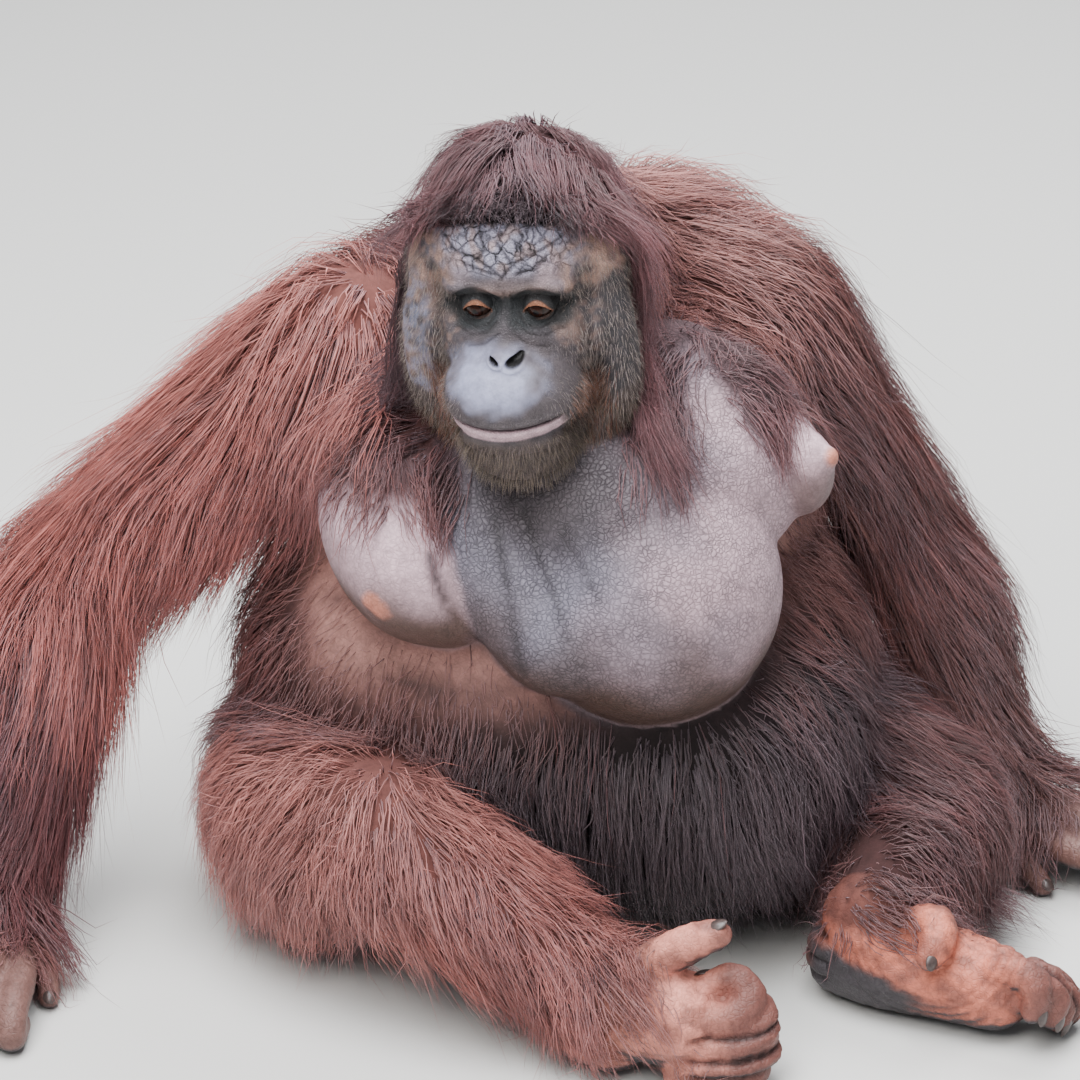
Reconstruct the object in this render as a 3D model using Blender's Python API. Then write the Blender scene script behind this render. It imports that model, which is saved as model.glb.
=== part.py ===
"""A seated adult female orangutan, life size, as a still museum model.

Metres, +Z up. The animal faces -Y and its left side is +X. The origin is on the floor, at the
middle of the flat under the rump. Every node is one closed body; nodes that touch keep JOINT_GAP.
"""

import math
import random

import bmesh
import bpy
import numpy as np
from mathutils import Matrix, Vector
from mathutils.bvhtree import BVHTree

JOINT_GAP = 0.0004
FLOOR_CLEAR = 0.002
SEED = 11

# How far the solid cores reach into the coat's depth: 1 is out to the tips
COAT_SHARE = 0.42

# Head: the point midway between the pupils, and how the face is turned
EYE_MIDDLE = Vector((-0.027, -0.180, 0.649))
FACE_YAW = math.radians(11)
FACE_PITCH = math.radians(5)
FACE_ROLL = math.radians(4)
EYE_RADIUS = 0.0120
EYE_SPACING = 0.0520
EYE_DEPTH = -0.007
LID_THICKNESS = 0.0028
SLOT_SIZE = (0.0120, 0.0125, 0.0046)
NOSTRIL_ACROSS = 0.0090
NOSTRIL_SIZE = (0.0056, 0.0085, 0.0044)
# Temple, brow, cheekbone, cheek and jowl: across, up, forward, and three half sizes
CHEEK_MASSES = (
    (0.058, 0.014, -0.050, 0.036, 0.034, 0.042),
    (0.028, 0.018, -0.018, 0.030, 0.022, 0.016),
    (0.050, -0.030, -0.026, 0.032, 0.028, 0.034),
    (0.052, -0.070, -0.052, 0.032, 0.036, 0.052),
    (0.044, -0.116, -0.042, 0.030, 0.034, 0.038),
)
EAR_ACROSS = 0.090
EAR_BACK = 0.092

# Depths of the coat
CROWN_COAT = 0.030
BACK_COAT = 0.032
FLANK_COAT = 0.022
ARM_COAT = 0.038
THIGH_COAT = 0.026
SHIN_COAT = 0.022

# Limb joints
SHOULDER_RIGHT = Vector((-0.165, 0.030, 0.520))
ELBOW_RIGHT = Vector((-0.428, -0.010, 0.318))
WRIST_RIGHT = Vector((-0.480, -0.140, 0.052))
SHOULDER_LEFT = Vector((0.180, 0.070, 0.535))
ELBOW_LEFT = Vector((0.318, 0.125, 0.320))
WRIST_LEFT = Vector((0.425, 0.075, 0.050))
HIP_RIGHT = Vector((-0.170, 0.040, 0.112))
KNEE_RIGHT = Vector((-0.132, -0.200, 0.165))
ANKLE_RIGHT = Vector((0.055, -0.300, 0.074))
HIP_LEFT = Vector((0.165, 0.040, 0.112))
KNEE_LEFT = Vector((0.352, -0.060, 0.108))
ANKLE_LEFT = Vector((0.290, -0.192, 0.078))
THIGH_MIDDLE_RIGHT = Vector((-0.192, -0.080, 0.124))
THIGH_MIDDLE_LEFT = Vector((0.262, 0.000, 0.112))


def face_turn():
    """The rotation whose axes are the head's left, back and up."""
    yaw = Matrix.Rotation(-FACE_YAW, 3, "Z")
    pitch = Matrix.Rotation(FACE_PITCH, 3, "X")
    roll = Matrix.Rotation(-FACE_ROLL, 3, "Y")
    return yaw @ pitch @ roll


def face_point(across, up, forward):
    """A point of the head from its middle between the eyes: to its own left, up and forwards."""
    return EYE_MIDDLE + face_turn() @ Vector((across, -forward, up))


def clear_scene():
    for old in list(bpy.data.objects):
        bpy.data.objects.remove(old, do_unlink=True)


def add_object(name, mesh):
    made = bpy.data.objects.new(name, mesh)
    bpy.context.scene.collection.objects.link(made)
    return made


def ellipsoid(centre, radii, turn=None, fine=3, coat=0.0):
    """A closed ellipsoid at skin depth plus its share of coat; turn is a rotation or degrees."""
    shape = bmesh.new()
    bmesh.ops.create_icosphere(shape, subdivisions=fine, radius=1.0)
    if turn is None:
        spin = Matrix.Identity(3)
    elif isinstance(turn, Matrix):
        spin = turn
    else:
        spin = Matrix.Identity(3)
        for axis, degrees in zip("XYZ", turn):
            spin = Matrix.Rotation(math.radians(degrees), 3, axis) @ spin
    size = Matrix.Diagonal(Vector(radii) + Vector((1, 1, 1)) * coat * COAT_SHARE)
    for vertex in shape.verts:
        vertex.co = Vector(centre) + spin @ (size @ vertex.co)
    mesh = bpy.data.meshes.new("mass")
    shape.to_mesh(mesh)
    shape.free()
    return add_object("mass", mesh)


def smooth_path(points, per_span):
    """Points on a smooth curve through points, each a tuple of any length."""
    rows = [np.array(p, float) for p in points]
    rows = [2 * rows[0] - rows[1], *rows, 2 * rows[-1] - rows[-2]]
    found = []
    for k in range(1, len(rows) - 2):
        a, b, c, d = rows[k - 1 : k + 3]
        for step in range(per_span):
            t = step / per_span
            found.append(
                0.5 * (2 * b + (c - a) * t + (2 * a - 5 * b + 4 * c - d) * t**2
                       + (3 * b - a - 3 * c + d) * t**3)
            )
    found.append(rows[-2])
    return np.array(found)


def limb(stations, sides=20, per_span=5, cap_rings=4):
    """A tapered tube with round ends through stations of (x, y, z, radius)."""
    path = smooth_path(stations, per_span)
    centres, radii = path[:, :3], path[:, 3]
    along = np.gradient(centres, axis=0)
    along /= np.linalg.norm(along, axis=1)[:, None]
    rings = []
    for k in range(cap_rings, 0, -1):
        angle = math.pi / 2 * k / (cap_rings + 0.6)
        middle = centres[0] - along[0] * radii[0] * math.sin(angle)
        rings.append((middle, along[0], radii[0] * math.cos(angle)))
    rings += list(zip(centres, along, radii))
    for k in range(1, cap_rings + 1):
        angle = math.pi / 2 * k / (cap_rings + 0.6)
        middle = centres[-1] + along[-1] * radii[-1] * math.sin(angle)
        rings.append((middle, along[-1], radii[-1] * math.cos(angle)))
    shape = bmesh.new()
    side = Vector(along[0]).orthogonal().normalized()
    loops = []
    for centre, direction, radius in rings:
        direction = Vector(direction)
        side = (side - direction * side.dot(direction)).normalized()
        other = direction.cross(side)
        loop = []
        for k in range(sides):
            angle = 2 * math.pi * k / sides
            outward = side * math.cos(angle) + other * math.sin(angle)
            loop.append(shape.verts.new(Vector(centre) + outward * float(radius)))
        loops.append(loop)
    for first, second in zip(loops, loops[1:]):
        for k in range(sides):
            shape.faces.new((first[k], first[(k + 1) % sides], second[(k + 1) % sides], second[k]))
    shape.faces.new(loops[0][::-1])
    shape.faces.new(loops[-1])
    bmesh.ops.recalc_face_normals(shape, faces=shape.faces)
    mesh = bpy.data.meshes.new("limb")
    shape.to_mesh(mesh)
    shape.free()
    return add_object("limb", mesh)


def settle(target, modifiers):
    """Applies modifiers given as (type, settings) to target."""
    for kind, settings in modifiers:
        modifier = target.modifiers.new(kind, kind)
        for key, value in settings.items():
            setattr(modifier, key, value)
    graph = bpy.context.evaluated_depsgraph_get()
    mesh = bpy.data.meshes.new_from_object(target.evaluated_get(graph))
    target.modifiers.clear()
    old = target.data
    target.data = mesh
    bpy.data.meshes.remove(old)
    return target


def join(pieces):
    """One object holding the meshes of all pieces, which are removed."""
    shape = bmesh.new()
    for piece in pieces:
        shape.from_mesh(piece.data)
        bpy.data.objects.remove(piece, do_unlink=True)
    mesh = bpy.data.meshes.new("body")
    shape.to_mesh(mesh)
    shape.free()
    return add_object("body", mesh)


def fuse(pieces, voxel, smoothing, triangles):
    """Masses made one skin: remeshed together, smoothed, then thinned to about this many triangles."""
    body = join(pieces)
    settle(body, [
        ("REMESH", {"mode": "VOXEL", "voxel_size": voxel}),
        ("SMOOTH", {"factor": 0.5, "iterations": smoothing}),
        ("TRIANGULATE", {}),
    ])
    share = triangles / len(body.data.polygons)
    settle(body, [("DECIMATE", {"ratio": min(1.0, share)})])
    return body


def keep_largest(target):
    """Keeps only the largest closed surface of target."""
    shape = bmesh.new()
    shape.from_mesh(target.data)
    left = set(shape.verts)
    groups = []
    while left:
        start = left.pop()
        group, front = {start}, [start]
        while front:
            for edge in front.pop().link_edges:
                for vertex in edge.verts:
                    if vertex in left:
                        left.discard(vertex)
                        group.add(vertex)
                        front.append(vertex)
        groups.append(group)
    groups.sort(key=len)
    small = [v for group in groups[:-1] for v in group]
    bmesh.ops.delete(shape, geom=small, context="VERTS")
    shape.to_mesh(target.data)
    shape.free()


def combine(target, operation, cutters, solver="EXACT"):
    """Joins cutters to target or takes them from it, and removes them."""
    for cutter in cutters:
        settle(target, [("BOOLEAN", {"operation": operation, "solver": solver, "object": cutter})])
        bpy.data.objects.remove(cutter, do_unlink=True)
    return target


def swollen(source, by):
    """A copy of source grown by this much along its normals."""
    copy = add_object("swollen", source.data.copy())
    shape = bmesh.new()
    shape.from_mesh(copy.data)
    shape.normal_update()
    moves = [(v, v.co + v.normal * by) for v in shape.verts]
    for vertex, place in moves:
        vertex.co = place
    shape.to_mesh(copy.data)
    shape.free()
    return copy


def floor_block():
    """What is under the floor, to cut the flats that the animal rests on."""
    shape = bmesh.new()
    bmesh.ops.create_cube(shape, size=2.0)
    for vertex in shape.verts:
        vertex.co.z -= 1.0
    mesh = bpy.data.meshes.new("floor")
    shape.to_mesh(mesh)
    shape.free()
    return add_object("floor", mesh)


def torso():
    return [
        ellipsoid((0.006, 0.050, 0.120), (0.225, 0.190, 0.134), coat=FLANK_COAT * 0.5),
        ellipsoid((0.010, 0.010, 0.240), (0.272, 0.198, 0.175), coat=FLANK_COAT),
        ellipsoid((0.010, 0.055, 0.370), (0.240, 0.165, 0.180), coat=FLANK_COAT),
        ellipsoid((0.010, 0.095, 0.480), (0.200, 0.120, 0.140), coat=BACK_COAT),
        ellipsoid((0.090, 0.115, 0.562), (0.115, 0.095, 0.092), coat=BACK_COAT),
        ellipsoid((-0.070, 0.090, 0.530), (0.115, 0.095, 0.085), coat=BACK_COAT),
        ellipsoid((-0.080, -0.060, 0.440), (0.080, 0.080, 0.090)),
        ellipsoid((0.120, -0.060, 0.200), (0.160, 0.150, 0.130), coat=FLANK_COAT),
    ]


def neck():
    return [chain((Vector((0.030, 0.080, 0.570)), 0.085, BACK_COAT),
                  (Vector((0.010, 0.015, 0.612)), 0.082, CROWN_COAT),
                  (Vector((-0.008, -0.045, 0.630)), 0.066, CROWN_COAT * 0.3))]


def head():
    """Cranium, brow, muzzle, jaw and cheek ridges; only the cranium carries the coat."""
    turn = face_turn()

    def mass(across, up, forward, wide, deep, high, coat=0.0):
        return ellipsoid(face_point(across, up, forward), (wide, deep, high), turn, coat=coat)

    part = [
        mass(0, 0.038, -0.092, 0.074, 0.082, 0.078, CROWN_COAT),
        mass(0, 0.036, -0.040, 0.073, 0.048, 0.046),
        mass(0, -0.040, -0.030, 0.060, 0.048, 0.055),
        mass(0, -0.014, -0.010, 0.013, 0.018, 0.024),
        mass(0, -0.072, 0.008, 0.060, 0.052, 0.041),
        mass(0, -0.040, 0.024, 0.018, 0.016, 0.014),
        mass(0, -0.120, -0.004, 0.050, 0.048, 0.038),
        mass(0, -0.104, 0.030, 0.046, 0.024, 0.013),
        mass(0, -0.100, -0.065, 0.072, 0.060, 0.055),
    ]
    for side in (-1, 1):
        for across, up, forward, wide, deep, high in CHEEK_MASSES:
            part.append(mass(side * across, up, forward, wide, deep, high))
        path = [(0.075, 0.022, -0.046, 0.013), (0.083, -0.035, -0.034, 0.018),
                (0.079, -0.092, -0.038, 0.019), (0.060, -0.134, -0.050, 0.016)]
        part.append(limb([(*face_point(side * x, up, forward), r) for x, up, forward, r in path]))
    return part


def carve_face(target):
    """Lids round each eye with the slot between them, nostrils and the line of the mouth."""
    turn = face_turn()
    lids = []
    cuts = []
    for side in (-1, 1):
        across = side * EYE_SPACING / 2
        lid = EYE_RADIUS + LID_THICKNESS
        eye = face_point(across, 0, EYE_DEPTH)
        slot = face_point(across, -0.0012, EYE_DEPTH + 0.014)
        nostril = face_point(side * NOSTRIL_ACROSS, -0.0350, 0.0365)
        lids.append(ellipsoid(eye, (lid * 1.08, lid * 1.04, lid * 1.04), turn, 2))
        cuts.append(ellipsoid(slot, SLOT_SIZE, turn, 2))
        cuts.append(ellipsoid(eye, [EYE_RADIUS + JOINT_GAP] * 3, turn))
        cuts.append(ellipsoid(nostril, NOSTRIL_SIZE, turn, 2))
        cuts.append(ear_hollow(side))
    combine(target, "UNION", lids)
    stations = []
    for k in range(-4, 5):
        across = 0.047 * k / 4
        stations.append((*face_point(across, -0.0925 + 3.0 * across**2, 0.060 - 8.5 * across**2), 0.0030))
    cuts.append(limb(stations, sides=6, per_span=1, cap_rings=1))
    combine(target, "DIFFERENCE", cuts)
    return target


def ear(side):
    """A small ear: a flattened oval with its cup, open outwards and forwards."""
    tilt = face_turn() @ Matrix.Rotation(side * math.radians(-24), 3, "Z")
    place = face_point(side * EAR_ACROSS, 0.002, -EAR_BACK)
    outward = tilt @ Vector((side, 0, 0))
    body = ellipsoid(place, (0.0100, 0.0155, 0.0215), tilt, 2)
    cup = ellipsoid(place + outward * 0.0090, (0.0080, 0.0100, 0.0145), tilt, 2)
    return combine(body, "DIFFERENCE", [cup])


def ear_hollow(side):
    """The room in the coat in which an ear stands."""
    tilt = face_turn() @ Matrix.Rotation(side * math.radians(-24), 3, "Z")
    place = face_point(side * (EAR_ACROSS + 0.020), 0.002, -EAR_BACK)
    return ellipsoid(place, (0.022, 0.019, 0.026), tilt, 2)


def throat_sac():
    """The bag of loose skin that hangs from the chin to the animal's left."""
    return [
        ellipsoid((0.092, -0.140, 0.372), (0.117, 0.109, 0.120)),
        ellipsoid((0.062, -0.125, 0.440), (0.102, 0.090, 0.088)),
        ellipsoid((0.110, -0.092, 0.458), (0.102, 0.088, 0.086)),
        ellipsoid((0.006, -0.100, 0.478), (0.076, 0.064, 0.062)),
        ellipsoid((0.142, -0.066, 0.480), (0.080, 0.072, 0.090)),
        ellipsoid((0.110, -0.045, 0.522), (0.066, 0.058, 0.056)),
        ellipsoid((0.160, -0.085, 0.450), (0.068, 0.065, 0.072)),
        limb([(-0.048, -0.110, 0.474, 0.050), (-0.042, -0.138, 0.432, 0.055),
              (-0.016, -0.158, 0.392, 0.061), (0.022, -0.170, 0.356, 0.067)]),
    ]


def breast_right():
    return [
        limb([(-0.136, -0.072, 0.458, 0.050), (-0.126, -0.110, 0.426, 0.065),
              (-0.106, -0.140, 0.392, 0.062), (-0.080, -0.152, 0.368, 0.044)]),
        limb([(-0.152, -0.172, 0.392, 0.007), (-0.145, -0.184, 0.382, 0.009)]),
        ellipsoid((-0.060, -0.102, 0.432), (0.058, 0.056, 0.068)),
    ]


def breast_left():
    return [
        ellipsoid((0.195, -0.078, 0.462), (0.050, 0.050, 0.054)),
        ellipsoid((0.224, -0.096, 0.462), (0.030, 0.032, 0.040)),
        ellipsoid((0.248, -0.110, 0.482), (0.010, 0.010, 0.010)),
    ]


def chain(*stations):
    """A limb through (point, skin radius, coat depth)."""
    return limb([(*point, radius + coat * COAT_SHARE) for point, radius, coat in stations])


def upper_arm(shoulder, elbow):
    return [chain((shoulder, 0.080, ARM_COAT), (shoulder.lerp(elbow, 0.45), 0.058, ARM_COAT),
                  (elbow, 0.046, ARM_COAT))]


def forearm(elbow, wrist):
    return [chain((elbow.lerp(wrist, 0.06), 0.040, ARM_COAT), (elbow.lerp(wrist, 0.35), 0.052, ARM_COAT),
                  (elbow.lerp(wrist, 0.75), 0.038, ARM_COAT * 0.8), (wrist, 0.032, ARM_COAT * 0.2))]


def thigh(hip, middle, knee):
    return [chain((hip, 0.110, THIGH_COAT), (middle, 0.098, THIGH_COAT), (knee, 0.062, THIGH_COAT * 0.8))]


def shin(knee, ankle):
    return [chain((knee.lerp(ankle, 0.12), 0.055, SHIN_COAT), (knee.lerp(ankle, 0.45), 0.058, SHIN_COAT),
                  (ankle, 0.038, SHIN_COAT * 0.4))]


def foot_right():
    """The foot lies on its outer edge, sole to the body, big toe up, toes curled."""
    return [
        limb([(0.050, -0.298, 0.060, 0.038), (0.085, -0.318, 0.058, 0.043),
              (0.118, -0.328, 0.056, 0.042)]),
        limb([(0.036, -0.296, 0.036, 0.035), (0.062, -0.314, 0.034, 0.034)]),
        limb([(0.085, -0.314, 0.092, 0.0205), (0.115, -0.322, 0.118, 0.0180),
              (0.140, -0.328, 0.134, 0.0150), (0.150, -0.330, 0.138, 0.0125)]),
        limb([(0.118, -0.336, 0.066, 0.0165), (0.156, -0.350, 0.066, 0.0160),
              (0.178, -0.340, 0.080, 0.0150), (0.166, -0.328, 0.094, 0.0135),
              (0.144, -0.328, 0.090, 0.0115)]),
        limb([(0.120, -0.344, 0.046, 0.0165), (0.166, -0.358, 0.046, 0.0155),
              (0.190, -0.344, 0.058, 0.0148), (0.184, -0.322, 0.068, 0.0125),
              (0.164, -0.314, 0.068, 0.0110)]),
        limb([(0.120, -0.350, 0.028, 0.0160), (0.166, -0.362, 0.028, 0.0150),
              (0.192, -0.348, 0.036, 0.0140), (0.186, -0.324, 0.044, 0.0120),
              (0.166, -0.314, 0.046, 0.0105)]),
        limb([(0.118, -0.350, 0.0145, 0.0140), (0.160, -0.362, 0.0140, 0.0135),
              (0.184, -0.350, 0.0170, 0.0125), (0.178, -0.328, 0.0240, 0.0110),
              (0.160, -0.318, 0.0280, 0.0098)]),
    ]


def foot_left():
    """The foot stands on its sole, turned out, with the big toe towards the front."""
    return [
        limb([(0.270, -0.186, 0.040, 0.038), (0.300, -0.206, 0.044, 0.042),
              (0.345, -0.228, 0.046, 0.042), (0.392, -0.250, 0.042, 0.038)]),
        limb([(0.288, -0.190, 0.076, 0.042), (0.306, -0.208, 0.058, 0.042)]),
        limb([(0.318, -0.222, 0.076, 0.024), (0.340, -0.240, 0.096, 0.0195),
              (0.341, -0.262, 0.090, 0.0150), (0.334, -0.270, 0.082, 0.0115)]),
        limb([(0.385, -0.262, 0.060, 0.0165), (0.408, -0.276, 0.072, 0.0155),
              (0.426, -0.288, 0.062, 0.0145), (0.424, -0.290, 0.042, 0.0125)]),
        limb([(0.398, -0.252, 0.052, 0.0165), (0.426, -0.264, 0.062, 0.0155),
              (0.444, -0.276, 0.050, 0.0145), (0.440, -0.278, 0.030, 0.0125)]),
        limb([(0.404, -0.240, 0.042, 0.0165), (0.436, -0.248, 0.048, 0.0155),
              (0.456, -0.260, 0.034, 0.0140), (0.448, -0.264, 0.018, 0.0120)]),
        limb([(0.404, -0.226, 0.030, 0.0160), (0.440, -0.230, 0.030, 0.0150),
              (0.460, -0.242, 0.018, 0.0130), (0.452, -0.250, 0.0125, 0.0115)]),
    ]


def hand(wrist, ahead, across):
    """A hand resting on its curled fingers. ahead and across are level directions."""
    ahead, across = Vector(ahead).normalized(), Vector(across).normalized()

    def at(forward, side, height):
        place = wrist + ahead * forward + across * side
        return place.x, place.y, height

    palm = [(*at(0.0, 0, 0.052), 0.032), (*at(0.045, 0, 0.044), 0.033), (*at(0.085, 0, 0.036), 0.030)]
    part = [limb(palm)]
    for k in range(4):
        side = -0.036 + 0.024 * k
        part.append(limb([
            (*at(0.030, side * 0.6, 0.044), 0.0150),
            (*at(0.080, side, 0.040), 0.0152),
            (*at(0.130, side * 1.08, 0.034), 0.0142),
            (*at(0.148, side * 1.1, 0.016), 0.0135),
            (*at(0.120, side * 1.1, 0.0122), 0.0125),
        ]))
    part.append(limb([
        (*at(0.020, 0.030, 0.036), 0.0135),
        (*at(0.048, 0.052, 0.022), 0.0115),
        (*at(0.066, 0.058, 0.0095), 0.0098),
    ]))
    return part


def build_cores():
    """Every node's own body. Each is later cut clear of those before it in this order."""
    nodes = {}
    for name, side in (("right", -1), ("left", 1)):
        middle = face_point(side * EYE_SPACING / 2, 0, EYE_DEPTH)
        nodes["eye_" + name] = ellipsoid(middle, [EYE_RADIUS] * 3)
    nodes["torso"] = fuse(torso(), 0.012, 10, 820)
    nodes["neck"] = fuse(neck(), 0.010, 4, 140)
    nodes["upper_arm_right"] = fuse(upper_arm(SHOULDER_RIGHT, ELBOW_RIGHT), 0.010, 5, 160)
    nodes["upper_arm_left"] = fuse(upper_arm(SHOULDER_LEFT, ELBOW_LEFT), 0.010, 5, 160)
    nodes["forearm_right"] = fuse(forearm(ELBOW_RIGHT, WRIST_RIGHT), 0.010, 5, 140)
    nodes["forearm_left"] = fuse(forearm(ELBOW_LEFT, WRIST_LEFT), 0.010, 5, 140)
    nodes["thigh_right"] = fuse(thigh(HIP_RIGHT, THIGH_MIDDLE_RIGHT, KNEE_RIGHT), 0.010, 4, 190)
    nodes["thigh_left"] = fuse(thigh(HIP_LEFT, THIGH_MIDDLE_LEFT, KNEE_LEFT), 0.010, 4, 190)
    nodes["shin_right"] = fuse(shin(KNEE_RIGHT, ANKLE_RIGHT), 0.008, 4, 150)
    nodes["shin_left"] = fuse(shin(KNEE_LEFT, ANKLE_LEFT), 0.008, 4, 150)
    nodes["head"] = carve_face(fuse(head(), 0.0042, 8, 880))
    nodes["throat_sac"] = fuse(throat_sac(), 0.008, 12, 300)
    nodes["breast_right"] = fuse(breast_right(), 0.005, 6, 230)
    nodes["breast_left"] = fuse(breast_left(), 0.004, 6, 180)
    nodes["hand_right"] = fuse(hand(WRIST_RIGHT, (-0.1, -1, 0), (1, -0.1, 0)), 0.0045, 3, 430)
    nodes["hand_left"] = fuse(hand(WRIST_LEFT, (0.88, -0.47, 0), (-0.47, -0.88, 0)), 0.0045, 3, 430)
    nodes["foot_right"] = fuse(foot_right(), 0.004, 3, 570)
    nodes["foot_left"] = fuse(foot_left(), 0.004, 3, 570)
    nodes["ear_right"] = ear(-1)
    nodes["ear_left"] = ear(1)
    for name, node in nodes.items():
        node.name = name
        node.data.name = name
    return nodes


def tree_of(node):
    shape = bmesh.new()
    shape.from_mesh(node.data)
    tree = BVHTree.FromBMesh(shape)
    shape.free()
    return tree


def clear_neighbours(nodes):
    """Each node gives way to those before it, so that they meet with a thin even gap."""
    names = list(nodes)
    for k, name in enumerate(names):
        if name.startswith("eye"):
            continue
        for other in names[:k]:
            if other.startswith("eye"):
                continue
            grown = swollen(nodes[other], JOINT_GAP)
            if tree_of(grown).overlap(tree_of(nodes[name])):
                combine(nodes[name], "DIFFERENCE", [grown])
                keep_largest(nodes[name])
            else:
                bpy.data.objects.remove(grown, do_unlink=True)
        lowest = min(v.co.z for v in nodes[name].data.vertices)
        if lowest < 0:
            combine(nodes[name], "DIFFERENCE", [floor_block()])
            keep_largest(nodes[name])


# Locks of each node: how many, length, width, height of the tips over the core
LOCKS = {
    "neck": (12, 0.120, 0.044, 0.024),
    "upper_arm_right": (22, 0.165, 0.046, 0.030),
    "upper_arm_left": (18, 0.160, 0.044, 0.032),
    "forearm_right": (14, 0.130, 0.042, 0.026),
    "forearm_left": (11, 0.130, 0.040, 0.026),
    "thigh_right": (11, 0.110, 0.042, 0.018),
    "thigh_left": (8, 0.100, 0.042, 0.016),
    "shin_right": (9, 0.095, 0.036, 0.016),
    "shin_left": (7, 0.085, 0.034, 0.014),
    "head": (26, 0.120, 0.036, 0.022),
    "torso": (48, 0.135, 0.056, 0.024),
}
LOCK_RINGS = 4
LOCK_PROFILE = (0.60, 1.00, 0.85, 0.50)
LOCK_SINK = 0.010
LOCK_FLATNESS = 0.22
SAME_PLACE = 0.000002
ATTEMPTS = 5
CANDIDATES = 14
DOWN = Vector((0, 0, -1))


def in_face(place):
    """A place as the head sees it: across, up and forward of the point between the eyes."""
    local = face_turn().transposed() @ (place - EYE_MIDDLE)
    return local.x, local.z, -local.y


def grows_hair(name, place, normal):
    """Whether long hair grows at a place of a node."""
    if place.z < 0.025 and normal.z < -0.3:
        return False
    if name == "head":
        across, up, forward = in_face(place)
        return forward < -0.064 + max(0.0, up - 0.030) * 1.7
    if name == "torso":
        bare_chest = normal.y < -0.15 and place.z > 0.285 + 0.25 * max(0.0, place.x)
        return not bare_chest
    if name == "neck":
        return normal.y > -0.75
    return True


def lie(name, place, normal):
    """The way the hair lies at a place of a node, before it is laid along the surface."""
    if name == "head":
        across, up, forward = in_face(place)
        side = 1 if across > 0 else -1
        away = (place - face_point(0, 0.090, -0.085)).normalized()
        if forward > -0.100 and abs(across) > 0.030:
            away = away * 0.4 + face_turn() @ Vector((side * 0.75, 0.55, 0))
        return away + DOWN * 0.75
    if name == "neck":
        return Vector((place.x * 4, 0.45, -1))
    if name == "torso":
        return Vector((place.x * 1.6, 0.15, -1))
    if name == "upper_arm_right":
        return (ELBOW_RIGHT - SHOULDER_RIGHT).normalized() + DOWN * 0.45
    if name == "upper_arm_left":
        return (ELBOW_LEFT - SHOULDER_LEFT).normalized() + Vector((0.45, 0, -0.2))
    if name == "forearm_right":
        return (WRIST_RIGHT - ELBOW_RIGHT).normalized() + Vector((-0.25, 0, -0.1))
    if name == "forearm_left":
        return (WRIST_LEFT - ELBOW_LEFT).normalized() + Vector((0.55, 0, -0.1))
    if name == "thigh_right":
        return (place - KNEE_RIGHT).normalized() + DOWN * 0.9
    if name == "shin_right":
        return (ANKLE_RIGHT - KNEE_RIGHT).normalized() + DOWN * 0.8
    return Vector((0.75, -0.1, -1))


def own_length(name, place, normal, length):
    """Hair is longest at the sides of the head and under the arms."""
    if name == "head":
        across, up, forward = in_face(place)
        return length * (0.55 if up > 0.07 else 1.30)
    if "arm" in name and normal.z < -0.2:
        return length * 1.15
    return length


def roots(node, name, count, dice, others):
    """Evenly spread places where long hair grows, each with its normal."""
    shape = bmesh.new()
    shape.from_mesh(node.data)
    bmesh.ops.triangulate(shape, faces=shape.faces)
    faces = [f for f in shape.faces if grows_hair(name, f.calc_center_median(), f.normal)]
    areas = [f.calc_area() for f in faces]
    places = []
    tries = 0
    while len(places) < count and tries < count * 6:
        tries += 1
        best, best_gap = None, -1
        for face in dice.choices(faces, areas, k=CANDIDATES):
            a, b = dice.random(), dice.random()
            if a + b > 1:
                a, b = 1 - a, 1 - b
            corners = [v.co for v in face.verts]
            place = corners[0] + (corners[1] - corners[0]) * a + (corners[2] - corners[0]) * b
            if not grows_hair(name, place, face.normal):
                continue
            if min((place - tree.find_nearest(place)[0]).length for tree in others) < 0.007:
                continue
            gap = min([(place - other).length for other, _ in places], default=1.0)
            if gap > best_gap:
                best, best_gap = (place, face.normal.copy()), gap
        if best:
            places.append(best)
    shape.free()
    return places


def lock_path(name, place, normal, length, height, own, others, thick):
    """The middle line of one lock and the outward side at each of its points."""
    points = [place - normal * LOCK_SINK]
    outwards = [normal.copy()]
    step = length / LOCK_RINGS
    at = place.copy()
    out = normal.copy()
    for k in range(1, LOCK_RINGS + 1):
        way = lie(name, at, out).normalized()
        way = (way - out * way.dot(out)).normalized()
        way = (way + DOWN * 0.16 * k).normalized()
        at = at + way * step
        wanted = height * k / LOCK_RINGS
        near, face_normal = own.find_nearest(at)[:2]
        held = 1.0 if (at - near).dot(face_normal) < wanted else 0.75
        if held == 1.0 or face_normal.z > -0.2:
            at = at.lerp(near + face_normal * wanted, held)
            out = face_normal.lerp(out, 0.35).normalized()
        for _ in range(2):
            for tree in others:
                near, face_normal = tree.find_nearest(at)[:2]
                room = thick * 0.6 + 0.0015
                if (at - near).dot(face_normal) < room and (at - near).length < 0.04:
                    at = near + face_normal * room
        at.z = max(at.z, FLOOR_CLEAR + thick * 0.5)
        points.append(at.copy())
        outwards.append(out.copy())
    return points, outwards


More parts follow.
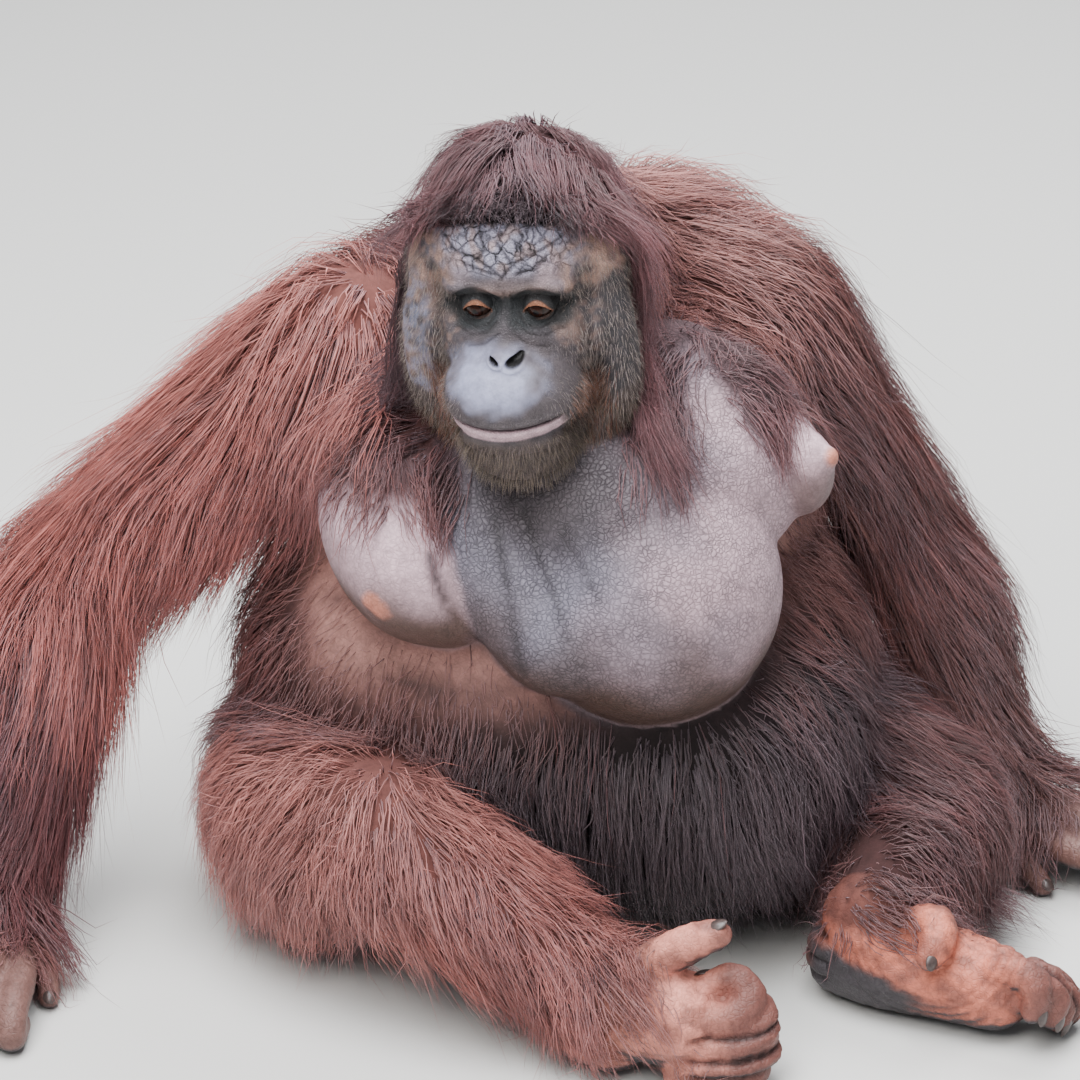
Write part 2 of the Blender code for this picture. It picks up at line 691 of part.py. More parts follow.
def lock_mesh(points, outwards, width, grow=0.0):
    """A flat closed lock along points: lens-shaped rings and a pointed tip."""
    shape = bmesh.new()
    loops = []
    for k in range(LOCK_RINGS):
        ahead = (points[k + 1] - points[max(k - 1, 0)]).normalized()
        out = (outwards[k] - ahead * outwards[k].dot(ahead)).normalized()
        side = ahead.cross(out)
        wide = width * LOCK_PROFILE[k] / 2 + grow
        thick = width * LOCK_PROFILE[k] * LOCK_FLATNESS / 2 + grow
        corners = (side * wide, out * thick, side * -wide, out * -thick)
        places = [points[k] + corner for corner in corners]
        for place in places:
            place.z = max(place.z, FLOOR_CLEAR - grow)
        loops.append([shape.verts.new(place) for place in places])
    for first, second in zip(loops, loops[1:]):
        for k in range(4):
            shape.faces.new((first[k], first[(k + 1) % 4], second[(k + 1) % 4], second[k]))
    tip = shape.verts.new(points[-1] + (points[-1] - points[-2]).normalized() * grow)
    for k in range(4):
        shape.faces.new((loops[-1][k], loops[-1][(k + 1) % 4], tip))
    shape.faces.new(loops[0][::-1])
    bmesh.ops.triangulate(shape, faces=shape.faces)
    bmesh.ops.recalc_face_normals(shape, faces=shape.faces)
    return shape


def folded(points):
    """Whether a lock's line doubles back or bunches up, so that its surface would cross itself."""
    parts = [b - a for a, b in zip(points, points[1:])]
    longest = max(part.length for part in parts)
    if min(part.length for part in parts) < 0.3 * longest:
        return True
    return any(a.normalized().dot(b.normalized()) < 0.45 for a, b in zip(parts, parts[1:]))


def over_face(points):
    """Whether a lock would hang in front of the bare face."""
    for point in points[1:]:
        across, up, forward = in_face(point)
        if forward > -0.045 and abs(across) < 0.095 and -0.19 < up < 0.052:
            return True
    return False


def sound(node):
    """Whether a node stays a plain closed surface when its nearly equal points are merged."""
    shape = bmesh.new()
    shape.from_mesh(node.data)
    bmesh.ops.remove_doubles(shape, verts=shape.verts, dist=SAME_PLACE)
    good = all(edge.is_manifold for edge in shape.edges)
    good = good and all(vertex.is_manifold for vertex in shape.verts)
    shape.free()
    return good


def lay_locks(name, node, settings, dice, own, others, taken):
    """Makes one node's locks, shortened until each is clear; returns their trees and a collection."""
    count, length, width, height = settings
    bundle = bpy.data.collections.new("locks")
    bpy.context.scene.collection.children.link(bundle)
    trees = []
    for place, normal in roots(node, name, count, dice, others):
        full = own_length(name, place, normal, length) * dice.uniform(0.85, 1.12)
        wide = width * dice.uniform(0.85, 1.15)
        for share in (1.0, 0.75, 0.5, 0.35):
            thick = wide * LOCK_FLATNESS
            points, outwards = lock_path(name, place, normal, full * share, height * share ** 0.5,
                                         own, others, thick)
            if folded(points):
                continue
            grown = lock_mesh(points, outwards, wide, JOINT_GAP)
            tree = BVHTree.FromBMesh(grown)
            grown.free()
            if any(tree.overlap(other) for other in taken) or (name == "head" and over_face(points)):
                continue
            shape = lock_mesh(points, outwards, wide)
            mesh = bpy.data.meshes.new("lock")
            shape.to_mesh(mesh)
            shape.free()
            bundle.objects.link(bpy.data.objects.new("lock", mesh))
            trees.append(tree)
            break
    return trees, bundle


def grow_locks(nodes):
    """Joins each node's locks to it. A draw of locks whose union isn't sound is drawn again."""
    cores = {name: tree_of(node) for name, node in nodes.items()}
    laid = {}
    for name, settings in LOCKS.items():
        node = nodes[name]
        core = node.data.copy()
        others = [tree for key, tree in cores.items() if key != name]
        taken = others + [tree for trees in laid.values() for tree in trees]
        for attempt in range(ATTEMPTS):
            dice = random.Random(SEED + attempt)
            laid[name], bundle = lay_locks(name, node, settings, dice, cores[name], others, taken)
            union = {"operation": "UNION", "solver": "EXACT", "operand_type": "COLLECTION"}
            settle(node, [("BOOLEAN", {**union, "collection": bundle})])
            for piece in list(bundle.objects):
                bpy.data.objects.remove(piece, do_unlink=True)
            bpy.data.collections.remove(bundle)
            keep_largest(node)
            if sound(node) or attempt == ATTEMPTS - 1:
                break
            node.data = core.copy()


COLOURS = {
    "head": (0.10, 0.09, 0.10),
    "eye": (0.04, 0.02, 0.015),
    "ear": (0.09, 0.07, 0.07),
    "throat_sac": (0.36, 0.29, 0.33),
    "breast": (0.42, 0.28, 0.29),
    "hand": (0.30, 0.15, 0.13),
    "foot": (0.42, 0.20, 0.17),
    "coat": (0.13, 0.035, 0.025),
}


def paint(nodes):
    """Each node has a material of its own, dull skin, glossy eye or coat."""
    for name, node in nodes.items():
        kind = next((key for key in COLOURS if name.startswith(key)), "coat")
        material = bpy.data.materials.new(name + "_material")
        material.use_nodes = True
        shader = material.node_tree.nodes["Principled BSDF"]
        shader.inputs["Base Color"].default_value = (*COLOURS[kind], 1)
        shader.inputs["Roughness"].default_value = 0.1 if kind == "eye" else 0.7
        node.data.materials.clear()
        node.data.materials.append(material)
        for face in node.data.polygons:
            face.material_index = 0
            face.use_smooth = True


def main():
    clear_scene()
    nodes = build_cores()
    clear_neighbours(nodes)
    grow_locks(nodes)
    paint(nodes)


main()
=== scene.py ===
# %% [markdown]
# # A seated orangutan, life size
# The animal is one still model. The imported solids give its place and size, and this script gives
# it one skin, a face, eyes, nails and a long coat of solid tufts. Everything is in metres with
# +Z up. The animal faces -Y, and +X is its own left side.

# %% The frame
import math

import bpy
import numpy as np
from mathutils import Matrix, Vector
from mathutils.bvhtree import BVHTree
from mathutils.kdtree import KDTree


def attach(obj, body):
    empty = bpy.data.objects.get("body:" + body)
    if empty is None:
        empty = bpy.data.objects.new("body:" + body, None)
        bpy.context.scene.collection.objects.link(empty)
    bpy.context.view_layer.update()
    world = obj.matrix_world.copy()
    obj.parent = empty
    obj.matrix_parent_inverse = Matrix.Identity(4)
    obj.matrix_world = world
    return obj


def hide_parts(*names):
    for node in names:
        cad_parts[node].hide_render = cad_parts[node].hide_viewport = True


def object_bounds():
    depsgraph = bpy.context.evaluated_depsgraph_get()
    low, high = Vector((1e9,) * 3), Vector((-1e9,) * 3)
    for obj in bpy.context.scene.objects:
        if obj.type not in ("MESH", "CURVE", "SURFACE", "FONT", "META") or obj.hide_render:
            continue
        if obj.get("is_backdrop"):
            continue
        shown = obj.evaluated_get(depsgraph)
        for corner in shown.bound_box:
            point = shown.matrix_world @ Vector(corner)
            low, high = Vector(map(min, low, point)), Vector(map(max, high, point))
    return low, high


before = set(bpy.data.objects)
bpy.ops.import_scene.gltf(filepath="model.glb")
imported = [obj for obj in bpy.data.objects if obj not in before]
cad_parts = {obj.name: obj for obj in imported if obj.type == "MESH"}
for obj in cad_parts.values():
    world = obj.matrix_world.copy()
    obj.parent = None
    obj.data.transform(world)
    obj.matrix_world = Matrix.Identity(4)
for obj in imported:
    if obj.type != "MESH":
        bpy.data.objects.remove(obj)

CAD_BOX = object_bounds()
BOX_LOW = np.array([float(v) for v in CAD_BOX[0]])
BOX_HIGH = np.array([float(v) for v in CAD_BOX[1]])
print("solids reach from", BOX_LOW.round(3), "to", BOX_HIGH.round(3))

# %% [markdown]
# The camera stands five metres off and 25 degrees up, with a long lens, because the back of the
# animal hardly shrinks in the picture. A wide lens close by would make the knee and foot too big.

# %% Camera
PICTURE_MIDDLE = Vector((0.0, 0.0, 0.352))
CAMERA_DISTANCE = 5.0
CAMERA_HEIGHT_ANGLE = math.radians(25)
LENS_MM = 189.0

camera_data = bpy.data.cameras.new("camera")
camera_data.lens = LENS_MM
camera_data.sensor_fit = "HORIZONTAL"
camera_data.sensor_width = 36.0
camera = bpy.data.objects.new("camera", camera_data)
bpy.context.scene.collection.objects.link(camera)
offset = Vector((0, -math.cos(CAMERA_HEIGHT_ANGLE), math.sin(CAMERA_HEIGHT_ANGLE)))
camera.location = PICTURE_MIDDLE + offset * CAMERA_DISTANCE
camera.rotation_euler = (-offset).to_track_quat("-Z", "Y").to_euler()
bpy.context.scene.camera = camera
print("camera at", [round(v, 3) for v in camera.location])

# %% [markdown]
# The floor is a plain pale sheet, and the light is a soft sky with three big lamps: above, above
# the front and above the back. A hard small lamp would draw each hair with a sharp shadow and
# hide the soft sheen of a deep coat.

# %% Floor and light
FLOOR_SIZE = 40.0
SKY_STRENGTH = 0.42


def deselect():
    """Leaves nothing selected, so that an operator acts only on what is chosen next."""
    if bpy.context.object and bpy.context.object.mode != "OBJECT":
        bpy.ops.object.mode_set(mode="OBJECT")
    bpy.ops.object.select_all(action="DESELECT")


def linear(code):
    """The linear colour of an sRGB hex code such as '#804040'."""
    parts = [int(code[k:k + 2], 16) / 255 for k in (1, 3, 5)]
    return np.array([p / 12.92 if p <= 0.04045 else ((p + 0.055) / 1.055) ** 2.4 for p in parts])


def node(tree, kind, settings=(), links=()):
    """Adds a node; settings are (name or input, value), links are (input, output socket)."""
    made = tree.nodes.new(kind)
    for key, value in settings:
        if isinstance(key, str) and hasattr(made, key):
            setattr(made, key, value)
        else:
            made.inputs[key].default_value = value
    for key, socket in links:
        tree.links.new(socket, made.inputs[key])
    return made


def new_material(name):
    material = bpy.data.materials.new(name)
    material.use_nodes = True
    tree = material.node_tree
    return material, tree, tree.nodes["Principled BSDF"]


deselect()
bpy.ops.mesh.primitive_plane_add(size=FLOOR_SIZE, location=(0, 8, 0))
floor = bpy.context.object
floor.name = "studio_floor"
paper, _, paper_shader = new_material("matt_paper")
paper_shader.inputs["Base Color"].default_value = (*linear("#cfcecb"), 1)
paper_shader.inputs["Roughness"].default_value = 0.9
floor.data.materials.append(paper)
floor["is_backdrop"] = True

world = bpy.data.worlds.new("soft_sky")
world.use_nodes = True
world.node_tree.nodes["Background"].inputs["Color"].default_value = (0.90, 0.94, 1.0, 1)
world.node_tree.nodes["Background"].inputs["Strength"].default_value = SKY_STRENGTH
bpy.context.scene.world = world


def lamp(name, place, size, power, tint, target=(0.0, 0.0, 0.35)):
    data = bpy.data.lights.new(name, "AREA")
    data.shape = "DISK"
    data.size = size
    data.energy = power
    data.color = tint
    made = bpy.data.objects.new(name, data)
    made.location = place
    made.rotation_euler = (Vector(target) - Vector(place)).to_track_quat("-Z", "Y").to_euler()
    bpy.context.scene.collection.objects.link(made)


lamp("above", (-0.3, -0.5, 3.3), 2.6, 260, (0.97, 0.98, 1.0))
lamp("above_front", (-0.9, -2.4, 2.8), 1.8, 95, (1.0, 0.98, 0.96))
lamp("above_back", (0.9, 1.8, 3.0), 2.2, 130, (0.97, 0.98, 1.0))
print("floor of", FLOOR_SIZE, "m and 3 lamps")

# %% [markdown]
# ## The skin
# A body has no seams, so all its masses are run together into one skin. Balls and eggs are set
# along the bones and where fat and muscle lie, and a voxel remesh makes one surface of them. The
# one ball is modelled once and copied by arrays, as there are several hundred.

# %% One ball
deselect()
bpy.ops.mesh.primitive_ico_sphere_add(subdivisions=4, radius=1.0)
ball = bpy.context.object
BALL_POINTS = np.empty(len(ball.data.vertices) * 3)
ball.data.vertices.foreach_get("co", BALL_POINTS)
BALL_POINTS = BALL_POINTS.reshape(-1, 3)
BALL_FACES = np.array([f.vertices[:] for f in ball.data.polygons])
bpy.data.objects.remove(ball, do_unlink=True)
print("one ball has", len(BALL_POINTS), "points")

# %% [markdown]
# The head is turned and tipped, so its parts are placed from the point between the eyes: to the
# head's own left, up, and forwards.

# %% How the head is held
EYE_MIDDLE = np.array([-0.027, -0.180, 0.649])
FACE_YAW, FACE_PITCH, FACE_ROLL = (math.radians(a) for a in (11, 5, 4))
HEAD_TURN = np.array(
    Matrix.Rotation(-FACE_YAW, 3, "Z")
    @ Matrix.Rotation(FACE_PITCH, 3, "X")
    @ Matrix.Rotation(-FACE_ROLL, 3, "Y")
)


def face_point(across, up, forward):
    """A place of the head in the world."""
    return EYE_MIDDLE + HEAD_TURN @ np.array([across, -forward, up])


def in_face(places):
    """World places as the head sees them: across, up, forward."""
    local = (places - EYE_MIDDLE) @ HEAD_TURN
    return local[:, 0], local[:, 2], -local[:, 1]


def to_world(across, up, forward):
    """Arrays of across, up and forward as world places."""
    return EYE_MIDDLE + np.stack([across, -forward, up], 1) @ HEAD_TURN.T


print("between the eyes:", EYE_MIDDLE)

# %% [markdown]
# Each mass is an egg with a middle, three half sizes and a turn. A limb is a row of eggs along a
# smooth curve. Every mass belongs to a part of the body, which later says how hair lies there.

# %% Masses
MASSES = []
TELLING = []
PARTS = []


def egg(part, centre, radii, turn=None, told=True):
    """One mass of a part of the body; told is off where a neighbour tells the part as well."""
    if part not in PARTS:
        PARTS.append(part)
    turn = np.eye(3) if turn is None else turn
    MASSES.append((PARTS.index(part), np.array(centre, float), np.array(radii, float), turn))
    if told:
        TELLING.append(MASSES[-1])


def smooth_path(points, per_span=5):
    """Points on a smooth curve through points, each a tuple of any length."""
    rows = [np.array(p, float) for p in points]
    rows = [2 * rows[0] - rows[1], *rows, 2 * rows[-1] - rows[-2]]
    found = []
    for k in range(1, len(rows) - 2):
        a, b, c, d = rows[k - 1:k + 3]
        for t in np.arange(per_span) / per_span:
            found.append(0.5 * (2 * b + (c - a) * t + (2 * a - 5 * b + 4 * c - d) * t**2
                                + (3 * b - a - 3 * c + d) * t**3))
    found.append(rows[-2])
    return np.array(found)


def limb(part, stations):
    """Eggs in a row through stations of (x, y, z, radius)."""
    for k, (x, y, z, radius) in enumerate(smooth_path(stations)):
        egg(part, (x, y, z), (radius, radius, radius), told=k % 2 == 0)


SHOULDER_RIGHT, ELBOW_RIGHT, WRIST_RIGHT = (
    np.array(p) for p in ((-0.165, 0.030, 0.520), (-0.428, -0.010, 0.318), (-0.480, -0.140, 0.052)))
SHOULDER_LEFT, ELBOW_LEFT, WRIST_LEFT = (
    np.array(p) for p in ((0.180, 0.070, 0.535), (0.318, 0.125, 0.320), (0.425, 0.075, 0.050)))
HIP_RIGHT, KNEE_RIGHT, ANKLE_RIGHT = (
    np.array(p) for p in ((-0.170, 0.040, 0.112), (-0.132, -0.200, 0.165), (0.055, -0.300, 0.074)))
HIP_LEFT, KNEE_LEFT, ANKLE_LEFT = (
    np.array(p) for p in ((0.165, 0.040, 0.112), (0.352, -0.060, 0.108), (0.290, -0.192, 0.078)))
THIGH_RIGHT = np.array((-0.192, -0.080, 0.124))
THIGH_LEFT = np.array((0.262, 0.000, 0.112))


def between(a, b, share):
    return a + (b - a) * share


# %% [markdown]
# The trunk is broad and low, with a big soft belly, as in a heavy captive animal. The skin lies
# inside the solids by their share of the coat.

# %% Trunk, neck and limbs
egg("torso", (0.006, 0.060, 0.120), (0.225, 0.182, 0.126))
egg("torso", (0.010, 0.010, 0.240), (0.272, 0.198, 0.175))
egg("torso", (0.010, 0.055, 0.370), (0.240, 0.165, 0.180))
egg("torso", (0.010, 0.095, 0.480), (0.200, 0.120, 0.140))
egg("torso", (0.090, 0.115, 0.562), (0.115, 0.095, 0.092))
egg("torso", (-0.070, 0.090, 0.530), (0.115, 0.095, 0.085))
egg("torso", (-0.080, -0.060, 0.440), (0.080, 0.080, 0.090))
egg("torso", (0.120, -0.060, 0.200), (0.160, 0.150, 0.130))
limb("neck", [(0.030, 0.080, 0.570, 0.085), (0.010, 0.015, 0.612, 0.082), (-0.008, -0.045, 0.630, 0.066)])
limb("upper_arm_right", [(*SHOULDER_RIGHT, 0.080), (*between(SHOULDER_RIGHT, ELBOW_RIGHT, 0.45), 0.058),
                         (*ELBOW_RIGHT, 0.046)])
limb("upper_arm_left", [(*SHOULDER_LEFT, 0.080), (*between(SHOULDER_LEFT, ELBOW_LEFT, 0.45), 0.058),
                        (*ELBOW_LEFT, 0.046)])
for part, elbow, wrist in (("forearm_right", ELBOW_RIGHT, WRIST_RIGHT),
                           ("forearm_left", ELBOW_LEFT, WRIST_LEFT)):
    limb(part, [(*between(elbow, wrist, 0.06), 0.040), (*between(elbow, wrist, 0.35), 0.052),
                (*between(elbow, wrist, 0.75), 0.038), (*wrist, 0.032)])
for part, hip, middle, knee in (("thigh_right", HIP_RIGHT, THIGH_RIGHT, KNEE_RIGHT),
                                ("thigh_left", HIP_LEFT, THIGH_LEFT, KNEE_LEFT)):
    limb(part, [(*hip, 0.110), (*middle, 0.098), (*knee, 0.062)])
for part, knee, ankle in (("shin_right", KNEE_RIGHT, ANKLE_RIGHT), ("shin_left", KNEE_LEFT, ANKLE_LEFT)):
    limb(part, [(*between(knee, ankle, 0.12), 0.055), (*between(knee, ankle, 0.45), 0.058), (*ankle, 0.038)])

# %% [markdown]
# The throat sac hangs over the chest to the animal's left, and the breasts lie to both sides of it.

# %% Throat sac and breasts
egg("throat_sac", (0.092, -0.140, 0.372), (0.117, 0.109, 0.120))
egg("throat_sac", (0.062, -0.125, 0.440), (0.102, 0.090, 0.088))
egg("throat_sac", (0.110, -0.092, 0.458), (0.102, 0.088, 0.086))
egg("throat_sac", (0.006, -0.100, 0.478), (0.076, 0.064, 0.062))
egg("throat_sac", (0.142, -0.066, 0.480), (0.080, 0.072, 0.090))
egg("throat_sac", (0.110, -0.045, 0.522), (0.066, 0.058, 0.056))
egg("throat_sac", (0.160, -0.085, 0.450), (0.068, 0.065, 0.072))
limb("throat_sac", [(-0.048, -0.110, 0.474, 0.050), (-0.042, -0.138, 0.432, 0.055),
                    (-0.016, -0.158, 0.392, 0.061), (0.022, -0.170, 0.356, 0.067)])
limb("breast_right", [(-0.136, -0.072, 0.458, 0.050), (-0.126, -0.110, 0.426, 0.065),
                      (-0.106, -0.140, 0.392, 0.062), (-0.080, -0.152, 0.368, 0.044)])
limb("breast_right", [(-0.152, -0.172, 0.392, 0.007), (-0.145, -0.184, 0.382, 0.009)])
egg("breast_right", (-0.060, -0.102, 0.432), (0.058, 0.056, 0.068))
egg("breast_left", (0.195, -0.078, 0.462), (0.050, 0.050, 0.054))
egg("breast_left", (0.224, -0.096, 0.462), (0.030, 0.032, 0.040))
egg("breast_left", (0.248, -0.110, 0.482), (0.010, 0.010, 0.010))

# %% [markdown]
# The head has a low cranium, a brow, a big rounded muzzle, a full chin and the raised ridges that
# run down both cheeks.

# %% Head
HEAD_EGGS = {
    "cranium": (0, 0.038, -0.092, 0.074, 0.082, 0.078),
    "forehead": (0, 0.036, -0.040, 0.073, 0.048, 0.046),
    "midface": (0, -0.040, -0.030, 0.060, 0.048, 0.055),
    "nose_bridge": (0, -0.014, -0.010, 0.013, 0.018, 0.024),
    "muzzle": (0, -0.072, 0.008, 0.060, 0.052, 0.041),
    "nose": (0, -0.040, 0.024, 0.018, 0.016, 0.014),
    "chin": (0, -0.120, -0.004, 0.050, 0.048, 0.038),
    "lower_lip": (0, -0.104, 0.030, 0.046, 0.024, 0.013),
    "jaw": (0, -0.100, -0.065, 0.072, 0.060, 0.055),
}
CHEEK_EGGS = {
    "temple": (0.058, 0.014, -0.050, 0.036, 0.034, 0.042),
    "brow": (0.028, 0.018, -0.018, 0.030, 0.022, 0.016),
    "cheekbone": (0.050, -0.030, -0.026, 0.032, 0.028, 0.034),
    "cheek": (0.052, -0.070, -0.052, 0.032, 0.036, 0.052),
    "jowl": (0.044, -0.116, -0.042, 0.030, 0.034, 0.038),
}
EAR_ACROSS, EAR_UP, EAR_BACK = 0.090, 0.002, 0.092
EAR_TURN = math.radians(-24)
EYE_ACROSS = 0.0260


def ear_frame(side):
    """The middle of an ear and how it is turned."""
    turn = HEAD_TURN @ np.array(Matrix.Rotation(side * EAR_TURN, 3, "Z"))
    return face_point(side * EAR_ACROSS, EAR_UP, -EAR_BACK), turn


for across, up, forward, wide, deep, high in HEAD_EGGS.values():
    egg("head", face_point(across, up, forward), (wide, deep, high), HEAD_TURN)
for side in (-1, 1):
    for across, up, forward, wide, deep, high in CHEEK_EGGS.values():
        egg("head", face_point(side * across, up, forward), (wide, deep, high), HEAD_TURN)
    ridge = [(0.075, 0.022, -0.046, 0.013), (0.083, -0.035, -0.034, 0.018),
             (0.079, -0.092, -0.038, 0.019), (0.060, -0.134, -0.050, 0.016)]
    limb("head", [(*face_point(side * x, up, forward), r) for x, up, forward, r in ridge])
    middle, tilt = ear_frame(side)
    egg("ear", middle, (0.0095, 0.0150, 0.0210), tilt)

# %% [markdown]
# The right foot lies on its outer edge with the big toe up, the left one stands on its sole, and
# both hands rest on curled fingers.

# %% Hands and feet
DIGIT_TIPS = []


def digit(part, stations):
    """A finger or toe; its end is kept for the nail."""
    limb(part, stations)
    path = np.array([s[:3] for s in stations])
    DIGIT_TIPS.append((part, path, stations[-1][3]))


limb("foot_right", [(0.050, -0.298, 0.060, 0.038), (0.085, -0.318, 0.058, 0.043),
                    (0.118, -0.328, 0.056, 0.042)])
limb("foot_right", [(0.036, -0.296, 0.036, 0.035), (0.062, -0.314, 0.034, 0.034)])
digit("foot_right", [(0.085, -0.314, 0.092, 0.0205), (0.115, -0.322, 0.118, 0.0180),
                     (0.140, -0.328, 0.134, 0.0150), (0.150, -0.330, 0.138, 0.0125)])
digit("foot_right", [(0.118, -0.336, 0.066, 0.0165), (0.156, -0.350, 0.066, 0.0160),
                     (0.178, -0.340, 0.080, 0.0150), (0.166, -0.328, 0.094, 0.0135),
                     (0.144, -0.328, 0.090, 0.0115)])
digit("foot_right", [(0.120, -0.344, 0.046, 0.0165), (0.166, -0.358, 0.046, 0.0155),
                     (0.190, -0.344, 0.058, 0.0148), (0.184, -0.322, 0.068, 0.0125),
                     (0.164, -0.314, 0.068, 0.0110)])
digit("foot_right", [(0.120, -0.350, 0.028, 0.0160), (0.166, -0.362, 0.028, 0.0150),
                     (0.192, -0.348, 0.036, 0.0140), (0.186, -0.324, 0.044, 0.0120),
                     (0.166, -0.314, 0.046, 0.0105)])
digit("foot_right", [(0.118, -0.350, 0.0145, 0.0140), (0.160, -0.362, 0.0140, 0.0135),
                     (0.184, -0.350, 0.0170, 0.0125), (0.178, -0.328, 0.0240, 0.0110),
                     (0.160, -0.318, 0.0280, 0.0098)])
limb("foot_left", [(0.270, -0.186, 0.040, 0.038), (0.300, -0.206, 0.044, 0.042),
                   (0.345, -0.228, 0.046, 0.042), (0.392, -0.250, 0.042, 0.038)])
limb("foot_left", [(0.288, -0.190, 0.076, 0.042), (0.306, -0.208, 0.058, 0.042)])
digit("foot_left", [(0.318, -0.222, 0.076, 0.024), (0.340, -0.240, 0.096, 0.0195),
                    (0.341, -0.262, 0.090, 0.0150), (0.334, -0.270, 0.082, 0.0115)])
digit("foot_left", [(0.385, -0.262, 0.060, 0.0165), (0.408, -0.276, 0.072, 0.0155),
                    (0.426, -0.288, 0.062, 0.0145), (0.424, -0.290, 0.042, 0.0125)])
digit("foot_left", [(0.398, -0.252, 0.052, 0.0165), (0.426, -0.264, 0.062, 0.0155),
                    (0.444, -0.276, 0.050, 0.0145), (0.440, -0.278, 0.030, 0.0125)])
digit("foot_left", [(0.404, -0.240, 0.042, 0.0165), (0.436, -0.248, 0.048, 0.0155),
                    (0.456, -0.260, 0.034, 0.0140), (0.448, -0.264, 0.018, 0.0120)])
digit("foot_left", [(0.404, -0.226, 0.030, 0.0160), (0.440, -0.230, 0.030, 0.0150),
                    (0.460, -0.242, 0.018, 0.0130), (0.452, -0.250, 0.0125, 0.0115)])


def hand(part, wrist, ahead, across):
    """A hand resting on its curled fingers; ahead and across are level directions."""
    ahead = np.array(ahead) / np.linalg.norm(ahead)
    across = np.array(across) / np.linalg.norm(across)

    def at(forward, side, height, radius):
        place = wrist + ahead * forward + across * side
        return place[0], place[1], height, radius

    limb(part, [at(0.0, 0, 0.052, 0.032), at(0.045, 0, 0.044, 0.033), at(0.085, 0, 0.036, 0.030)])
    for k in range(4):
        side = -0.036 + 0.024 * k
        digit(part, [at(0.030, side * 0.6, 0.044, 0.0150), at(0.080, side, 0.040, 0.0152),
                     at(0.130, side * 1.08, 0.034, 0.0142), at(0.148, side * 1.1, 0.016, 0.0135),
                     at(0.120, side * 1.1, 0.0122, 0.0125)])
    digit(part, [at(0.020, 0.030, 0.036, 0.0135), at(0.048, 0.052, 0.022, 0.0115),
                 at(0.066, 0.058, 0.0095, 0.0098)])


hand("hand_right", WRIST_RIGHT, (-0.1, -1, 0), (1, -0.1, 0))
hand("hand_left", WRIST_LEFT, (0.88, -0.47, 0), (-0.47, -0.88, 0))
print(len(MASSES), "masses in", len(PARTS), "parts")

# %% [markdown]
# All balls become one mesh, and the Remesh modifier in voxel mode keeps only the outer surface.
# Its cells are small enough for a toe. Smooth then takes away the marks between the balls.

# %% One skin of all masses
SKIN_VOXEL = 0.0034


def mesh_object(name, points, faces):
    """An object from arrays of points and of faces that all have as many corners."""
    mesh = bpy.data.meshes.new(name)
    corners = faces.shape[1]
    mesh.vertices.add(len(points))
    mesh.vertices.foreach_set("co", np.ascontiguousarray(points, dtype=np.float32).ravel())
    mesh.loops.add(faces.size)
    mesh.loops.foreach_set("vertex_index", np.ascontiguousarray(faces, dtype=np.int32).ravel())
    mesh.polygons.add(len(faces))
    mesh.polygons.foreach_set("loop_start", np.arange(len(faces), dtype=np.int32) * corners)
    mesh.update(calc_edges=True)
    made = bpy.data.objects.new(name, mesh)
    bpy.context.scene.collection.objects.link(made)
    return made


def choose(target):
    deselect()
    target.select_set(True)
    bpy.context.view_layer.objects.active = target


def apply_modifier(target, kind, **settings):
    choose(target)
    modifier = target.modifiers.new(kind, kind)
    for key, value in settings.items():
        setattr(modifier, key, value)
    bpy.ops.object.modifier_apply(modifier=modifier.name)


def edit_whole(target, operation, **settings):
    """Runs one operator of edit mode on all of target."""
    choose(target)
    bpy.ops.object.mode_set(mode="EDIT")
    bpy.ops.mesh.select_all(action="SELECT")
    operation(**settings)
    bpy.ops.object.mode_set(mode="OBJECT")


def read_rows(items, key):
    """Three numbers for each item of a mesh, such as the places of its points."""
    found = np.empty(len(items) * 3, dtype=np.float32)
    items.foreach_get(key, found)
    return found.reshape(-1, 3).astype(float)


def positions(target):
    return read_rows(target.data.vertices, "co")


def normals(target):
    return read_rows(target.data.vertices, "normal")


def move_to(target, places):
    target.data.vertices.foreach_set("co", np.ascontiguousarray(places, dtype=np.float32).ravel())
    target.data.update()


every_point, every_face = [], []
for k, (_, centre, radii, turn) in enumerate(MASSES):
    every_point.append(centre + (BALL_POINTS * radii) @ turn.T)
    every_face.append(BALL_FACES + k * len(BALL_POINTS))
skin = mesh_object("skin", np.concatenate(every_point), np.concatenate(every_face))
apply_modifier(skin, "REMESH", mode="VOXEL", voxel_size=SKIN_VOXEL)
edit_whole(skin, bpy.ops.mesh.separate, type="LOOSE")
shells = sorted(bpy.context.selected_objects, key=lambda piece: len(piece.data.vertices))
skin = shells.pop()
for shell in shells:
    bpy.data.objects.remove(shell, do_unlink=True)
skin.name = "skin"
print("skin has", len(skin.data.vertices), "points, and", len(shells), "inner shells went")

# %% [markdown]
# Each point of the skin is given to the part whose mass it is nearest to, measured in that mass's
# own size. From this come the names of the regions, and soft masks that fade over their borders.

# %% Which part each point belongs to
def nearness(points):
    """How far outside each part's masses the points are, in metres, one column for each part."""
    found = np.full((len(PARTS), len(points)), 9.0, dtype=np.float32)
    points = points.astype(np.float32)
    for part, centre, radii, turn in TELLING:
        local = (points - centre.astype(np.float32)) @ (turn / radii).astype(np.float32)
        away = (np.sqrt(np.einsum("ij,ij->i", local, local)) - 1) * np.float32(radii.min())
        np.minimum(found[part], away, out=found[part])
    return found.T


def distance(points, place):
    return np.linalg.norm(points - place, axis=1)


def soft_step(low, high, value):
    """0 below low, 1 above high and smooth between; low may be the higher of the two."""
    t = np.clip((value - low) / (high - low), 0, 1)
    return t * t * (3 - 2 * t)


